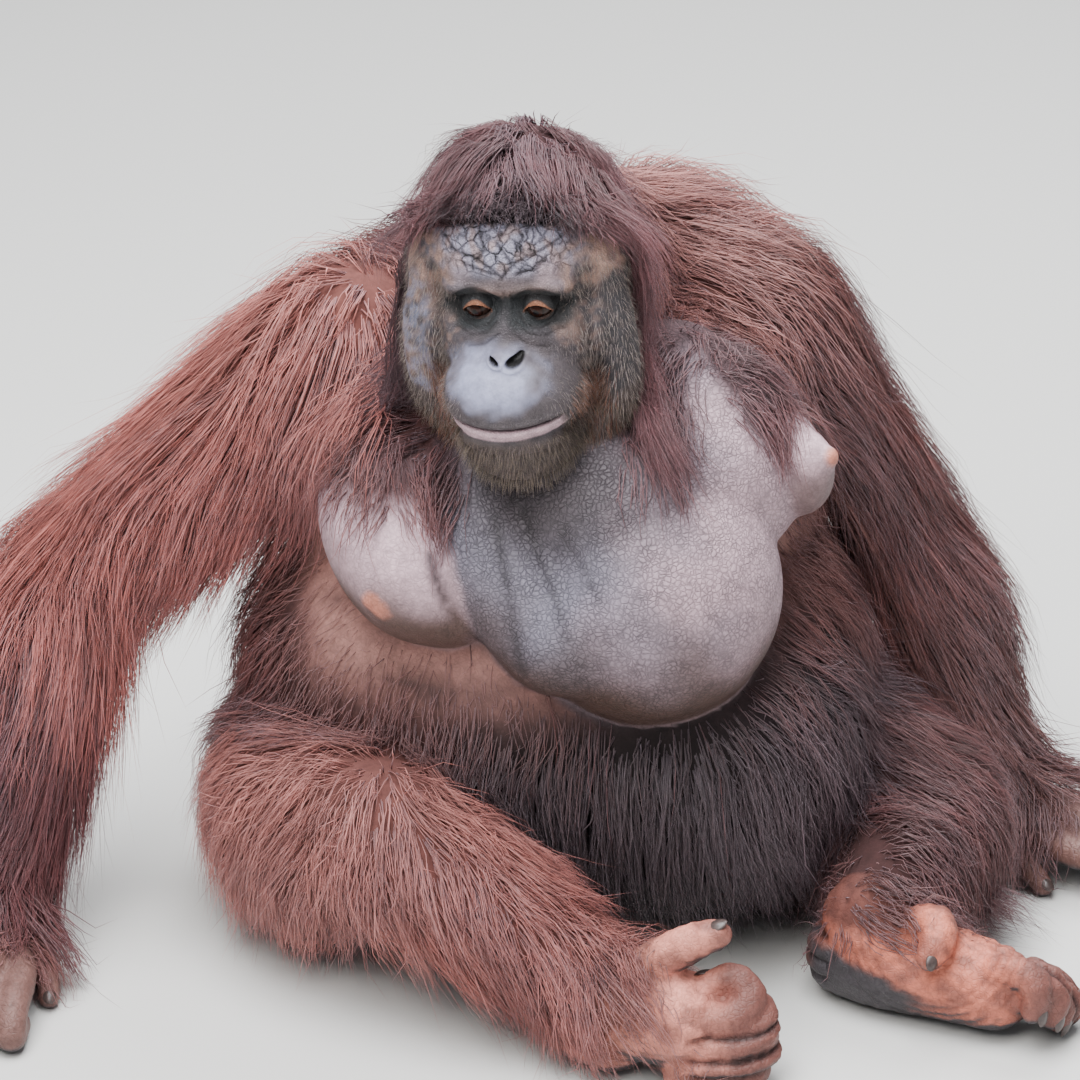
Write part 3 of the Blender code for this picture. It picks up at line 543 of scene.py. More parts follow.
def share_of(near, names, width=0.012):
    """A soft mask of the points that belong to the named parts."""
    inside = [PARTS.index(n) for n in names]
    outside = [k for k in range(len(PARTS)) if k not in inside]
    gap = near[:, outside].min(axis=1) - near[:, inside].min(axis=1)
    return soft_step(-width, width, gap)


HAIRY = ("torso", "neck", "upper_arm_right", "upper_arm_left", "forearm_right", "forearm_left",
         "thigh_right", "thigh_left", "shin_right", "shin_left")


def smooth_where(target, mask, factor, rounds):
    """Smooths the points of target by their mask, with a Smooth modifier on a vertex group."""
    group = target.vertex_groups.new(name="where")
    for level in range(1, 5):
        chosen = np.nonzero(np.round(mask * 4) == level)[0]
        if len(chosen):
            group.add([int(v) for v in chosen], level / 4, "REPLACE")
    apply_modifier(target, "SMOOTH", factor=factor, iterations=rounds, vertex_group="where")
    target.vertex_groups.remove(target.vertex_groups["where"])


near = nearness(positions(skin))
trunk = share_of(near, HAIRY, 0.006)
chest = share_of(near, ("throat_sac", "breast_right", "breast_left"), 0.006)
small = share_of(near, ("hand_right", "hand_left", "foot_right", "foot_left", "ear"), 0.003)
smooth_where(skin, trunk, 0.5, 26)
smooth_where(skin, chest, 0.5, 16)
smooth_where(skin, 1 - np.maximum(small, trunk), 0.5, 9)
smooth_where(skin, small, 0.5, 2)
print("skin smoothed")

# %% [markdown]
# Under the long coat the skin is hardly seen, so there its faces are made larger with Decimate,
# and the smooth throat sac and breasts need fewer as well. The face is treated the other way:
# its faces are divided once, and again about the eyes, nose, mouth and forehead, where lids and
# creases are a millimetre or two wide.

# %% Coarse under the coat, fine in the face
HIDDEN_SAVED, SOFT_SAVED = 0.955, 0.58


def thin_where(target, mask, saved):
    """Collapses this share of the faces where mask is true."""
    group = target.vertex_groups.new(name="thin")
    group.add([int(v) for v in np.nonzero(mask > 0.5)[0]], 1.0, "REPLACE")
    apply_modifier(target, "DECIMATE", ratio=1 - saved * mask.mean(), vertex_group="thin")
    target.vertex_groups.clear()


def select_where(target, chosen):
    """Selects the faces of target where chosen is true, in edit mode."""
    choose(target)
    target.data.polygons.foreach_set("select", np.zeros(len(target.data.polygons), dtype=bool))
    target.data.edges.foreach_set("select", np.zeros(len(target.data.edges), dtype=bool))
    target.data.vertices.foreach_set("select", np.zeros(len(target.data.vertices), dtype=bool))
    target.data.polygons.foreach_set("select", chosen)
    target.data.update()
    bpy.ops.object.mode_set(mode="EDIT")
    bpy.ops.mesh.select_mode(type="FACE")


def divide_where(target, chosen):
    """Divides the chosen faces once and eases the new points."""
    select_where(target, chosen)
    bpy.ops.mesh.subdivide(number_cuts=1)
    bpy.ops.mesh.vertices_smooth(factor=0.5, repeat=2)
    bpy.ops.object.mode_set(mode="OBJECT")


x, u, f = in_face(positions(skin))
behind = (share_of(near, ("head",), 0.004) > 0.5) & (f < -0.085) & (share_of(near, ("ear",), 0.004) < 0.5)
hidden = (share_of(near, HAIRY, 0.004) > 0.5) | behind
thin_where(skin, hidden, HIDDEN_SAVED)
near = nearness(positions(skin))
soft = share_of(near, ("throat_sac", "breast_right", "breast_left"), 0.004) > 0.5
thin_where(skin, soft, SOFT_SAVED)
x, u, f = in_face(read_rows(skin.data.polygons, "center"))
divide_where(skin, (f > -0.040) & (abs(x) < 0.092) & (u > -0.130) & (u < 0.060))
x, u, f = in_face(read_rows(skin.data.polygons, "center"))
eye_area = (abs(abs(x) - EYE_ACROSS) < 0.018) & (u > -0.020) & (u < 0.016)
mouth_area = (abs(x) < 0.048) & (u > -0.101) & (u < -0.079)
nose_area = (abs(x) < 0.018) & (u > -0.044) & (u < -0.024)
divide_where(skin, (f > -0.026) & (eye_area | mouth_area | nose_area))
print("skin has", sum(len(p.vertices) - 2 for p in skin.data.polygons), "triangles")

# %% [markdown]
# ## The face
# The face is then shaped as a sculptor would, by pushing points in and out: the lids are laid on
# a ball a little larger than the eye, the slot between them is pressed in behind the eye's
# front, and nostrils, lips and creases are pressed or raised along their own lines.

# %% Lids
EYE_RADIUS = 0.0120
EYE_DEPTH = -0.007
LID_RADIUS = 0.0140
SLOT_HALF_WIDTH = 0.0122
CORNER_DROP = 0.0030


def lid_edges(along):
    """Heights of the upper and the lower lid's edge at a distance from the eye's middle."""
    t = np.clip(abs(along) / SLOT_HALF_WIDTH, 0, 1)
    bow = (1 - t**2) ** 0.8
    return 0.0082 * bow - CORNER_DROP, -0.0044 * bow - CORNER_DROP


places = positions(skin)
x, u, f = in_face(places)
facing = -(normals(skin) @ HEAD_TURN)[:, 1]
front = (f > -0.045) & (facing > -0.2) & (u > -0.15) & (u < 0.08)
EDGE_CELL = SKIN_VOXEL / 4 * 0.62
for side in (-1, 1):
    along = (x - side * EYE_ACROSS) * side
    # The hollow round the eye, deepest under the brow and towards the nose
    reach = np.sqrt(((along - 0.002) / 0.030) ** 2 + ((u - 0.001) / 0.019) ** 2)
    f = np.where(front, f - 0.0042 * soft_step(1.20, 0.10, reach), f)
    # The brow hangs lower at both ends of each hollow, which makes its upper edge an arch
    arch_top = 0.0205 - 0.0190 * np.clip(abs(along) / 0.027, 0, 1.2) ** 2
    hanging = soft_step(arch_top - 0.003, arch_top + 0.003, u) * soft_step(0.026, 0.017, u)
    hanging *= abs(along) < 0.030
    f = np.where(front, f + 0.0050 * hanging * soft_step(-0.004, 0.012, abs(x)), f)
    far = np.sqrt(np.clip(LID_RADIUS**2 - along**2 - u**2, 1e-9, None))
    on_ball = EYE_DEPTH + far
    lid = front & (along**2 + u**2 < (LID_RADIUS * 0.97) ** 2)
    f = np.where(lid & (on_ball > f), on_ball, f)
    upper, lower = lid_edges(along)
    inside = np.maximum(u - upper, lower - u)
    inside = np.where(abs(along) < SLOT_HALF_WIDTH, inside, 1.0)
    snap = front & (abs(inside) < EDGE_CELL)
    u = np.where(snap, np.where(u > 0.5 * (upper + lower), upper, lower), u)
    slot = front & (inside <= -EDGE_CELL)
    f = np.where(slot, EYE_DEPTH + 0.001, f)
move_to(skin, to_world(x, u, f))
print("lids laid on a ball of", LID_RADIUS * 2000, "mm")

# %% [markdown]
# Each crease is a short line of points. Its depth falls off on both sides, so it reads as a fold
# and not as a cut. The forehead's creases meet in a V between the brows.

# %% Creases, nostrils and lips
def along_line(line, across, up):
    """The distance of each point from a line through a few points of the face."""
    best = np.full(len(across), 9.0)
    points = np.stack([across, up], 1)
    for a, b in zip(line, line[1:]):
        a, b = np.array(a), np.array(b)
        t = np.clip(((points - a) @ (b - a)) / ((b - a) @ (b - a)), 0, 1)
        best = np.minimum(best, np.linalg.norm(points - a - t[:, None] * (b - a), axis=1))
    return best


def mirrored(line, side):
    """A line of the animal's left half of the face as it lies on one side."""
    return [(side * a, b) for a, b in line]


FOREHEAD_CREASES = (
    [(0.062, 0.068), (0.045, 0.058), (0.028, 0.051), (0.012, 0.045), (0.004, 0.037), (-0.002, 0.029)],
    [(-0.052, 0.060), (-0.040, 0.050), (-0.024, 0.048), (-0.010, 0.040), (-0.002, 0.032)],
    [(-0.034, 0.042), (-0.020, 0.038), (-0.006, 0.034)],
    [(0.002, 0.070), (-0.004, 0.060), (0.003, 0.052), (0.008, 0.044)],
    [(0.018, 0.068), (0.014, 0.058), (0.020, 0.050)],
    [(-0.018, 0.064), (-0.014, 0.055), (-0.020, 0.047)],
    [(0.036, 0.045), (0.026, 0.038), (0.012, 0.035)],
)
EYE_FOLDS = (
    [(0.010, -0.004), (0.016, -0.012), (0.027, -0.0165), (0.038, -0.013), (0.044, -0.004)],
    [(0.008, -0.010), (0.018, -0.019), (0.032, -0.0225), (0.046, -0.018)],
    [(0.010, 0.006), (0.018, 0.0105), (0.028, 0.0115), (0.038, 0.008), (0.043, 0.001)],
    [(0.006, -0.018), (0.018, -0.027), (0.034, -0.032)],
)
MOUTH_HALF = 0.050


def mouth_height(across):
    return -0.0868 + 2.0 * across**2 + 0.05 * across


def ring(value, middle, width):
    """1 where value is middle, falling off over width on both sides."""
    return np.exp(-((value - middle) / width) ** 2)


def nostril_pit(across, up, side):
    """0 in the middle of a nostril and 1 at its rim; the animal's left one is the wider."""
    turned = math.radians(38)
    half_long, half_wide, aside = (0.0074, 0.0064, 0.0092) if side > 0 else (0.0054, 0.0036, 0.0082)
    rise = (up + 0.0335) * 1.6
    a = (across - aside) * math.cos(turned) + rise * math.sin(turned)
    b = -(across - aside) * math.sin(turned) + rise * math.cos(turned)
    return np.sqrt((a / half_long) ** 2 + (b / half_wide) ** 2)


x, u, f = in_face(positions(skin))
push = np.zeros(len(x))
for line in FOREHEAD_CREASES:
    push -= 0.0016 * ring(along_line(line, x, u), 0, 0.0014)
for side in (-1, 1):
    for line in EYE_FOLDS:
        push -= 0.0010 * ring(along_line(mirrored(line, side), x, u), 0, 0.0013)
    pit = nostril_pit(x * side, u, side)
    push += 0.0012 * ring(pit, 1.5, 0.35)
    push -= 0.0115 * soft_step(1.10, 0.45, pit)
VALLEY = [(0.066, 0.024), (0.063, -0.020), (0.065, -0.070), (0.058, -0.128)]
for side in (-1, 1):
    push -= 0.0085 * ring(along_line(mirrored(VALLEY, side), x, u), 0, 0.0075)
mouth = u - mouth_height(x)
open_part = soft_step(MOUTH_HALF, MOUTH_HALF * 0.86, abs(x))
push -= open_part * 0.0052 * ring(mouth, 0, 0.0014)
push += open_part * 0.0016 * ring(mouth, 0.0042, 0.0030)
push += open_part * 0.0034 * ring(mouth, -0.0060, 0.0042)
push -= 0.0006 * ring(x, 0, 0.0022) * soft_step(-0.042, -0.050, u) * soft_step(-0.080, -0.070, u)
push = np.where(front, push, 0)
move_to(skin, to_world(x, u, f + push))
print("deepest press in the face is", round(-float(push.min()) * 1000, 1), "mm")

# %% [markdown]
# The loose skin of the throat hangs in long folds from the chin, and a fold parts it from the
# right breast and crosses the belly below.

# %% Folds of the chest
def waves(points, size, seed):
    """A smooth random value from -1 to 1 whose patches are about size across."""
    dice = np.random.default_rng(seed)
    total = np.zeros(len(points))
    for _ in range(7):
        way = dice.normal(size=3)
        way *= 2 * math.pi / (size * 2) / np.linalg.norm(way) * dice.uniform(0.6, 1.5)
        total += np.sin(points @ way + dice.uniform(0, 6.3))
    return np.clip(total / 3.0, -1, 1)


# The line of each fold, its depth and width, and how much painted shade lies in it
CHEST_FOLDS = (
    ([(-0.038, 0.455), (-0.030, 0.420), (-0.024, 0.395), (-0.016, 0.335)], 0.0095, 0.0075, 0.60),
    ([(-0.012, 0.462), (-0.002, 0.432), (0.012, 0.405), (0.022, 0.370)], 0.0080, 0.0065, 0.55),
    ([(0.020, 0.455), (0.034, 0.430), (0.050, 0.405)], 0.0055, 0.0060, 0.40),
    ([(-0.093, 0.425), (-0.087, 0.403), (-0.074, 0.375), (-0.040, 0.322), (-0.008, 0.291)],
     0.0120, 0.0070, 0.85),
)
places = positions(skin)
outward = normals(skin)
depth = np.zeros(len(places))
for line, deep, wide, _ in CHEST_FOLDS:
    gap = along_line(line, places[:, 0], places[:, 2])
    ease = 0.75 + 0.25 * waves(places, 0.025, 44)
    depth += deep * ease * ring(gap, 0, wide) * soft_step(-0.10, -0.16, places[:, 1])
x, y, z = places.T
across_belly = soft_step(-0.215, -0.185, x) * soft_step(0.01, -0.05, x) * (y < -0.05)
belly_fold = np.zeros(len(places))
for fold_height, fold_tone in ((0.336, 0.8), (0.297, 1.0), (0.262, 0.6)):
    sagging = fold_height + 0.010 * np.sin(x * 18) + 0.003 * waves(places, 0.03, 50)
    belly_fold = np.maximum(belly_fold, fold_tone * ring(z, sagging, 0.0045))
belly_fold *= across_belly
depth += 0.0065 * belly_fold
move_to(skin, places - outward * depth[:, None])
print("chest folds up to", round(float(depth.max()) * 1000, 1), "mm deep")

# %% [markdown]
# The toes lie so close together that the skin has run them into one pad. The gaps between them
# are pressed back in as lines, and loose folds run across the back of the feet in bows.

# %% Toes and folds of the feet
near = nearness(places)
foot_share = share_of(near, ("foot_right", "foot_left"), 0.004)
depth = np.zeros(len(places))
x, y, z = places.T
right_toes = soft_step(0.118, 0.132, x) * (x < 0.25) * soft_step(0.112, 0.100, z)
for gap_height in (0.0575, 0.0375, 0.0210):
    depth += 0.0050 * ring(z - gap_height - 0.10 * (x - 0.160), 0, 0.0028) * right_toes
left_toes = soft_step(0.385, 0.405, x) * (y < -0.225)
for start in (-0.270, -0.257, -0.244):
    depth += 0.0045 * ring(y - start + 0.30 * (x - 0.420), 0, 0.0026) * left_toes
wrinkle = waves(places * np.array([1.0, 0.6, 1.0]), 0.0075, 41) + 0.5 * waves(places, 0.0045, 42)
depth += 0.0006 * wrinkle
LEFT_BIG_TOE = np.array([0.335, -0.262, 0.098])
for bow in (0.060, 0.068, 0.077, 0.087):
    depth += 0.0016 * ring(distance(places, LEFT_BIG_TOE), bow, 0.0022)
move_to(skin, places - outward * (depth * foot_share)[:, None])
# How deep the folds of the feet are, kept as a mask for painted shade in them.
FOOT_FOLD_SHADE = np.clip(depth / 0.0045, 0, 1) * foot_share
print("folds of the feet up to", round(float((depth * foot_share).max()) * 1000, 1), "mm deep")

# %% [markdown]
# The cup of each ear is a hollow pressed into its outer side.

# %% Ears
places = positions(skin)
for side in (-1, 1):
    middle, tilt = ear_frame(side)
    outward = tilt @ np.array([side, 0, 0])
    local = (places - middle) @ tilt
    hollow = np.sqrt((local[:, 1] / 0.0100) ** 2 + (local[:, 2] / 0.0145) ** 2)
    outer = (local[:, 0] * side > 0.002) & (local[:, 0] * side < 0.02)
    deep = np.where(outer, 0.0070 * soft_step(1.0, 0.5, hollow), 0)
    places = places - outward * deep[:, None]
move_to(skin, places)
print("two ears, cupped")

# %% [markdown]
# The animal rests on small flats, so nothing of the skin may reach below the floor.

# %% The flats
places = positions(skin)
places[:, 2] = np.maximum(places[:, 2], 0.0)
move_to(skin, places)
edit_whole(skin, bpy.ops.uv.smart_project, angle_limit=math.radians(66), island_margin=0.001)
bpy.ops.object.shade_smooth()
skin.data.uv_layers[0].name = "skin_unwrap"
print("skin unwrapped:", len(skin.data.uv_layers), "map")

# %% [markdown]
# ## Colours of skin and coat
# Skin and coat share the same regions. Each region has a named colour, and soft masks blend from
# one to the next, first over the whole body and then over the face.

# %% Skin colours
SKIN_TINTS = {
    "under_coat": "#452f32", "throat": "#8f7e88", "throat_shade_below": "#4a3832", "throat_blue": "#767280",
    "throat_pink": "#a98f97", "throat_shade": "#463f43", "breast": "#b79aa2",
    "breast_shade": "#503d38", "nipple": "#b0705f", "belly": "#a3756c", "foot": "#cc8272",
    "heel": "#bd6b56", "toe": "#6e443d", "sole": "#383437", "hand": "#6a4c46", "ear": "#5c4c4e",
    "face": "#4a4448", "muzzle": "#82849b", "muzzle_side": "#4d4649", "forehead": "#9c98ab",
    "brow": "#56525a", "eye_hollow_dark_and_shade": "#222527", "lid": "#86563f", "lip": "#c0a2aa",
    "ridge": "#353235", "chin": "#4c423f", "cheek_warm": "#a08073", "brow_end": "#b0979c",
    "nostril": "#0a0809", "crease_shade": "#1d181a",
}
SKIN_TINTS = {key: linear(code) for key, code in SKIN_TINTS.items()}


def layered(colour, layers):
    """Blends tints into colour one over the other; each layer is a mask and a tint's name."""
    for mask, tint in layers:
        mask = np.clip(mask, 0, 1)[:, None]
        colour = colour * (1 - mask) + SKIN_TINTS[tint] * mask
    return colour


UNDER_CHIN = np.array([0.020, -0.150, 0.475])
UNDER_CHIN_REACH = np.array([0.130, 0.110, 0.090])
NIPPLES = ((-0.142, -0.188, 0.383), (-0.136, -0.190, 0.375), (0.252, -0.114, 0.484))


def bare_front(points, facing_y):
    """The belly below the breasts, where only fine short hair grows."""
    x, _, z = points.T
    low = 0.250 + 0.24 * np.maximum(0, x) + 0.012 * waves(points, 0.10, 3)
    level = soft_step(low - 0.04, low + 0.085, z) * soft_step(0.50, 0.45, z)
    return level * soft_step(-0.05, -0.30, facing_y) * soft_step(-0.235, -0.185, x)


places = positions(skin)
outward = normals(skin)
near = nearness(places)
OWN_PART = near.argmin(axis=1)
x, y, z = places.T
colour = np.tile(SKIN_TINTS["under_coat"], (len(places), 1))
torso_share = share_of(near, ("torso",))
sac = share_of(near, ("throat_sac",), 0.010)
breasts = share_of(near, ("breast_right", "breast_left"), 0.010)
left_edge = soft_step(0.02, -0.06, x + 0.015 * waves(places, 0.03, 49)) * soft_step(0.44, 0.37, z)
under_chin = np.linalg.norm((places - UNDER_CHIN) / UNDER_CHIN_REACH, axis=1)
# Painted shade: the belly folds, the lower part of the sac, its edge by the right breast and its top under
# the chin are painted darker.
colour = layered(colour, [
    (torso_share * bare_front(places, outward[:, 1]), "belly"),
    (torso_share * belly_fold * 0.7, "crease_shade"),
    (sac, "throat"),
    (sac * soft_step(0.10, 0.02, x + 0.03 * waves(places, 0.05, 5)), "throat_blue"),
    (sac * soft_step(0.09, 0.17, x + 0.03 * waves(places, 0.05, 6)), "throat_pink"),
    (sac * soft_step(0.405, 0.280, z + 0.02 * waves(places, 0.04, 7)), "throat_shade_below"),
    (sac * left_edge * 0.6, "throat_shade_below"),
    (sac * soft_step(1.2, 0.4, under_chin), "throat_shade"),
    (breasts, "breast"),
])
# Painted shade lies along each fold of the throat and breasts.
for line, _, wide, tone in CHEST_FOLDS:
    shadow = ring(along_line(line, x, z), 0, wide * 0.7) * soft_step(-0.10, -0.16, y)
    colour = layered(colour, [(shadow * np.clip(sac + breasts, 0, 1) * tone, "crease_shade")])
# Painted shade darkens the lower part of each breast.
colour = layered(colour, [
    (breasts * soft_step(0.430, 0.355, z + 0.015 * waves(places, 0.04, 9)), "breast_shade"),
    (breasts * soft_step(0.495, 0.455, z) * soft_step(0.18, 0.20, x) * 0.8, "breast_shade"),
    *((soft_step(0.012, 0.006, distance(places, nipple)), "nipple") for nipple in NIPPLES),
])
print("trunk coloured")

# %% [markdown]
# The feet are warm and pale above, with dark toes and soles, and painted shade lies in their folds.

# %% Colours of hands, feet and ears
feet = share_of(near, ("foot_right", "foot_left"), 0.012)
hands = share_of(near, ("hand_right", "hand_left"), 0.012)
toes = soft_step(0.13, 0.17, x) * soft_step(0.25, 0.20, x) + soft_step(0.39, 0.43, x)
heel_edge = z + 0.28 * (x - 0.26) + 0.004 * waves(places, 0.015, 43)
left_heel = soft_step(0.066, 0.054, heel_edge) * soft_step(0.22, 0.24, x) * soft_step(0.365, 0.310, x)
colour = layered(colour, [
    (feet, "foot"),
    (feet * soft_step(0.20, 0.25, x), "heel"),
    (feet * toes, "toe"),
    (feet * soft_step(0.0, 0.7, waves(places, 0.016, 12)) * 0.6, "toe"),
    (feet * soft_step(0.3, 0.9, waves(places, 0.007, 45)) * 0.4, "toe"),
    # Painted shade in the gaps between the toes and in the folds of the feet.
    (FOOT_FOLD_SHADE * 0.80, "crease_shade"),
    (feet * soft_step(-0.25, -0.65, outward[:, 2]), "sole"),
    (feet * left_heel, "sole"),
    (hands, "hand"),
    (hands * soft_step(-0.2, -0.7, outward[:, 2]), "sole"),
    (share_of(near, ("ear",), 0.004), "ear"),
])
print("hands, feet and ears coloured")

# %% [markdown]
# In the face the muzzle is pale and cool, the hollows about the eyes are nearly black, partly dark
# skin and partly painted shade, with warm orange upper lids, and the lower lip is a pink band. The
# creases, the nostrils and the line of the mouth are darkened as painted shade, and one cheek ridge
# carries a painted sheen.

# %% Face colours
x, u, f = in_face(places)
face = share_of(near, ("head",), 0.008) * soft_step(-0.075, -0.055, f)
aside = abs(x)
warm_spots = soft_step(0.0, 0.7, waves(places, 0.008, 48)) * soft_step(0.030, 0.042, u)
brow_line = 0.0265 - 7.0 * (aside - EYE_ACROSS) ** 2
dome = np.sqrt((x / 0.058) ** 2 + ((u + 0.058) / 0.038) ** 2)
core = np.sqrt(((x + 0.010) / 0.042) ** 2 + ((u + 0.050) / 0.024) ** 2)
temple = face * soft_step(0.040, 0.055, aside) * soft_step(-0.005, 0.015, u) * soft_step(0.060, 0.045, u)
brow_end = soft_step(0.022, 0.034, aside) * soft_step(0.062, 0.048, aside) * ring(u, 0.036, 0.013)
ridge_tone = face * soft_step(0.066, 0.080, aside) * soft_step(0.030, 0.010, u)
lower = ring(u - mouth_height(x), 0.007, 0.011) * soft_step(0.062, 0.050, aside)
fine_spots = soft_step(-0.2, 0.8, waves(places, 0.006, 47)) * soft_step(0.035, 0.050, aside)
colour = layered(colour, [
    (face, "face"),
    (face * soft_step(0.1, 0.8, waves(places, 0.030, 8)) * 0.4, "cheek_warm"),
    (face * fine_spots * 0.4, "cheek_warm"),
    (face * soft_step(0.022, 0.040, u) * soft_step(0.078, 0.040, aside), "forehead"),
    (face * warm_spots * 0.55, "cheek_warm"),
    (face * ring(u, brow_line, 0.006) * soft_step(0.065, 0.050, aside) * 0.5, "brow"),
    (face * soft_step(1.10, 0.92, dome) * soft_step(-0.02, 0.0, f), "muzzle_side"),
    (face * soft_step(1.25, 0.50, core + 0.16 * waves(places, 0.010, 34)), "muzzle"),
    (face * brow_end * np.where(x > 0, 0.75, 0.40), "brow_end"),
    (temple * 0.85 * soft_step(-0.4, 0.3, waves(places, 0.012, 32)), "cheek_warm"),
    # The cheek ridge keeps its dark colour on the animal's left; on its right it is painted pale with the
    # muzzle's bluish colour, partly the ridge's own bluish grey and partly a painted sheen.
    (ridge_tone * np.where(x > 0, 0.9, 0.0), "ridge"),
    (ridge_tone * np.where(x > 0, 0.0, 0.60) * soft_step(-0.9, 0.5, waves(places, 0.006, 46)), "muzzle"),
    # Painted shade along the valley inside each cheek ridge.
    (face * ring(aside, 0.064, 0.006) * soft_step(0.02, 0.0, u) * 0.6, "crease_shade"),
    (face * lower * soft_step(-0.8, 0.5, waves(places, 0.010, 33)) * 0.75, "muzzle_side"),
    (face * soft_step(-0.098, -0.106, u - 2.0 * x**2), "chin"),
])
for side in (-1, 1):
    along = (x - side * EYE_ACROSS) * side
    hollow = np.sqrt(((along - 0.003) / 0.031) ** 2 + ((u - 0.0005) / 0.0195) ** 2)
    hollow += 0.12 * waves(places, 0.012, 31)
    arch = (u + CORNER_DROP) / 0.0118 + (along / 0.0130) ** 2
    corner = ring(u - lid_edges(along)[1], -0.0006, 0.0009) * soft_step(0.0125, 0.0095, abs(along))
    # The nearly black hollow round each eye is partly dark skin and partly painted shade under the brow.
    colour = layered(colour, [
        (face * soft_step(1.25, 0.75, hollow) * 0.95, "eye_hollow_dark_and_shade"),
        (face * soft_step(1.08, 0.90, arch) * soft_step(-0.0045, -0.0015, u), "lid"),
        (face * corner * 0.30 * soft_step(-0.004, 0.004, along * side), "lid"),
    ])
mouth = u - mouth_height(x)
lip_band = soft_step(0.0005, -0.0012, mouth) * soft_step(-0.0125, -0.0100, mouth)
# Painted shade in the creases of the forehead and the folds round the eyes.
crease_shade_mask = np.zeros(len(x))
for line in FOREHEAD_CREASES:
    crease_shade_mask = np.maximum(crease_shade_mask, ring(along_line(line, x, u), 0, 0.0016))
for side in (-1, 1):
    for line in EYE_FOLDS:
        crease_shade_mask = np.maximum(crease_shade_mask, 0.6 * ring(along_line(mirrored(line, side), x, u), 0, 0.0010))
colour = layered(colour, [
    (face * lip_band * soft_step(MOUTH_HALF, MOUTH_HALF * 0.9, aside), "lip"),
    # The line of the mouth and the pits of the nostrils are painted nearly black, as painted shade in the
    # openings.
    (face * ring(mouth, 0, 0.0008) * soft_step(MOUTH_HALF, 0.044, aside), "nostril"),
    *((np.where(f > 0, soft_step(1.20, 0.85, nostril_pit(x * side, u, side)), 0), "nostril")
      for side in (-1, 1)),
    (face * crease_shade_mask * 0.8, "crease_shade"),
])


def give_attribute(mesh, name, values):
    """A number or a colour for each point, which the materials read by name."""
    if values.ndim == 1:
        kept = mesh.attributes.new(name, "FLOAT", "POINT")
        kept.data.foreach_set("value", values.astype(np.float32))
    else:
        kept = mesh.attributes.new(name, "FLOAT_COLOR", "POINT")
        full = np.concatenate([values, np.ones((len(values), 1))], 1)
        kept.data.foreach_set("color", full.astype(np.float32).ravel())


give_attribute(skin.data, "pebbled", np.clip(sac + 0.3 * torso_share + 0.4 * breasts, 0, 1))
give_attribute(skin.data, "cracked", face * soft_step(0.026, 0.038, u) * soft_step(0.068, 0.046, abs(x)))
give_attribute(skin.data, "leathery", np.clip(feet + hands, 0, 1))
give_attribute(skin.data, "lined", np.clip(face * soft_step(0.85, 1.25, core), 0, 1))
print("skin coloured")

# %% [markdown]
# Bare ape skin is dry, finely wrinkled hide. Its shine is broad and weak, and its relief comes
# from small cells on the throat, cracks on the forehead and fine lines on hands and feet. One
# material holds them all, and the masks say how much of each shows.

# %% Hide
THROAT_CELL_MM = 4.4
FOREHEAD_CELL_MM = 11.0
LINE_MM = 2.2

hide, tree, shader = new_material("dry_wrinkled_hide")
flat_place = node(tree, "ShaderNodeTexCoord").outputs["Object"]


def mask_named(tree, name):
    return node(tree, "ShaderNodeAttribute", [("attribute_name", name)])


def maths(tree, operation, *values):
    """A Math node whose inputs are each a socket or a number."""
    made = node(tree, "ShaderNodeMath", [("operation", operation)])
    for k, value in enumerate(values):
        if isinstance(value, (int, float)):
            made.inputs[k].default_value = value
        else:
            tree.links.new(value, made.inputs[k])
    return made.outputs[0]


def dip(tree, place, cell_mm, reach, mask):
    """1 along the edges of cells and 0 inside them, times a mask."""
    cells = node(tree, "ShaderNodeTexVoronoi", [("feature", "DISTANCE_TO_EDGE"), ("Scale", 1000 / cell_mm)],
                 [("Vector", place)])
    edge = node(tree, "ShaderNodeMapRange",
                [("From Min", 0.0), ("From Max", reach), ("To Min", 1.0), ("To Max", 0.0)],
                [("Value", cells.outputs["Distance"])])
    return maths(tree, "MULTIPLY", edge.outputs[0], mask)


def weighed(one, two, three, four):
    """The sum of four sockets, each times its own number."""
    return maths(tree, "ADD", maths(tree, "MULTIPLY_ADD", *one, maths(tree, "MULTIPLY", *two)),
                 maths(tree, "MULTIPLY_ADD", *three, maths(tree, "MULTIPLY", *four)))


bend = node(tree, "ShaderNodeTexNoise", [("Scale", 90.0), ("Detail", 3.0)], [("Vector", flat_place)])
bent = node(tree, "ShaderNodeVectorMath", [("operation", "MULTIPLY_ADD"), (1, (0.010, 0.010, 0.008))],
            [(0, bend.outputs["Color"]), (2, flat_place)])
place = bent.outputs[0]
tint = mask_named(tree, "tint").outputs["Color"]
blotch = node(tree, "ShaderNodeTexNoise", [("Scale", 110.0), ("Detail", 8.0), ("Roughness", 0.65)],
              [("Vector", flat_place)])
grain = node(tree, "ShaderNodeTexNoise", [("Scale", 1000 / LINE_MM), ("Detail", 4.0)],
             [("Vector", flat_place)])
patches = node(tree, "ShaderNodeTexNoise", [("Scale", 55.0), ("Detail", 3.0)], [("Vector", flat_place)])
come_and_go = node(tree, "ShaderNodeMapRange",
                   [("From Min", 0.35), ("From Max", 0.65), ("To Min", 0.60), ("To Max", 1.10)],
                   [("Value", patches.outputs["Fac"])]).outputs[0]
sac_mask = maths(tree, "MULTIPLY", mask_named(tree, "pebbled").outputs["Fac"], come_and_go)
crack_mask = maths(tree, "MULTIPLY", mask_named(tree, "cracked").outputs["Fac"], come_and_go)
line_mask = mask_named(tree, "lined").outputs["Fac"]
leather_mask = mask_named(tree, "leathery").outputs["Fac"]
pebble_dip = dip(tree, place, THROAT_CELL_MM, 0.20, sac_mask)
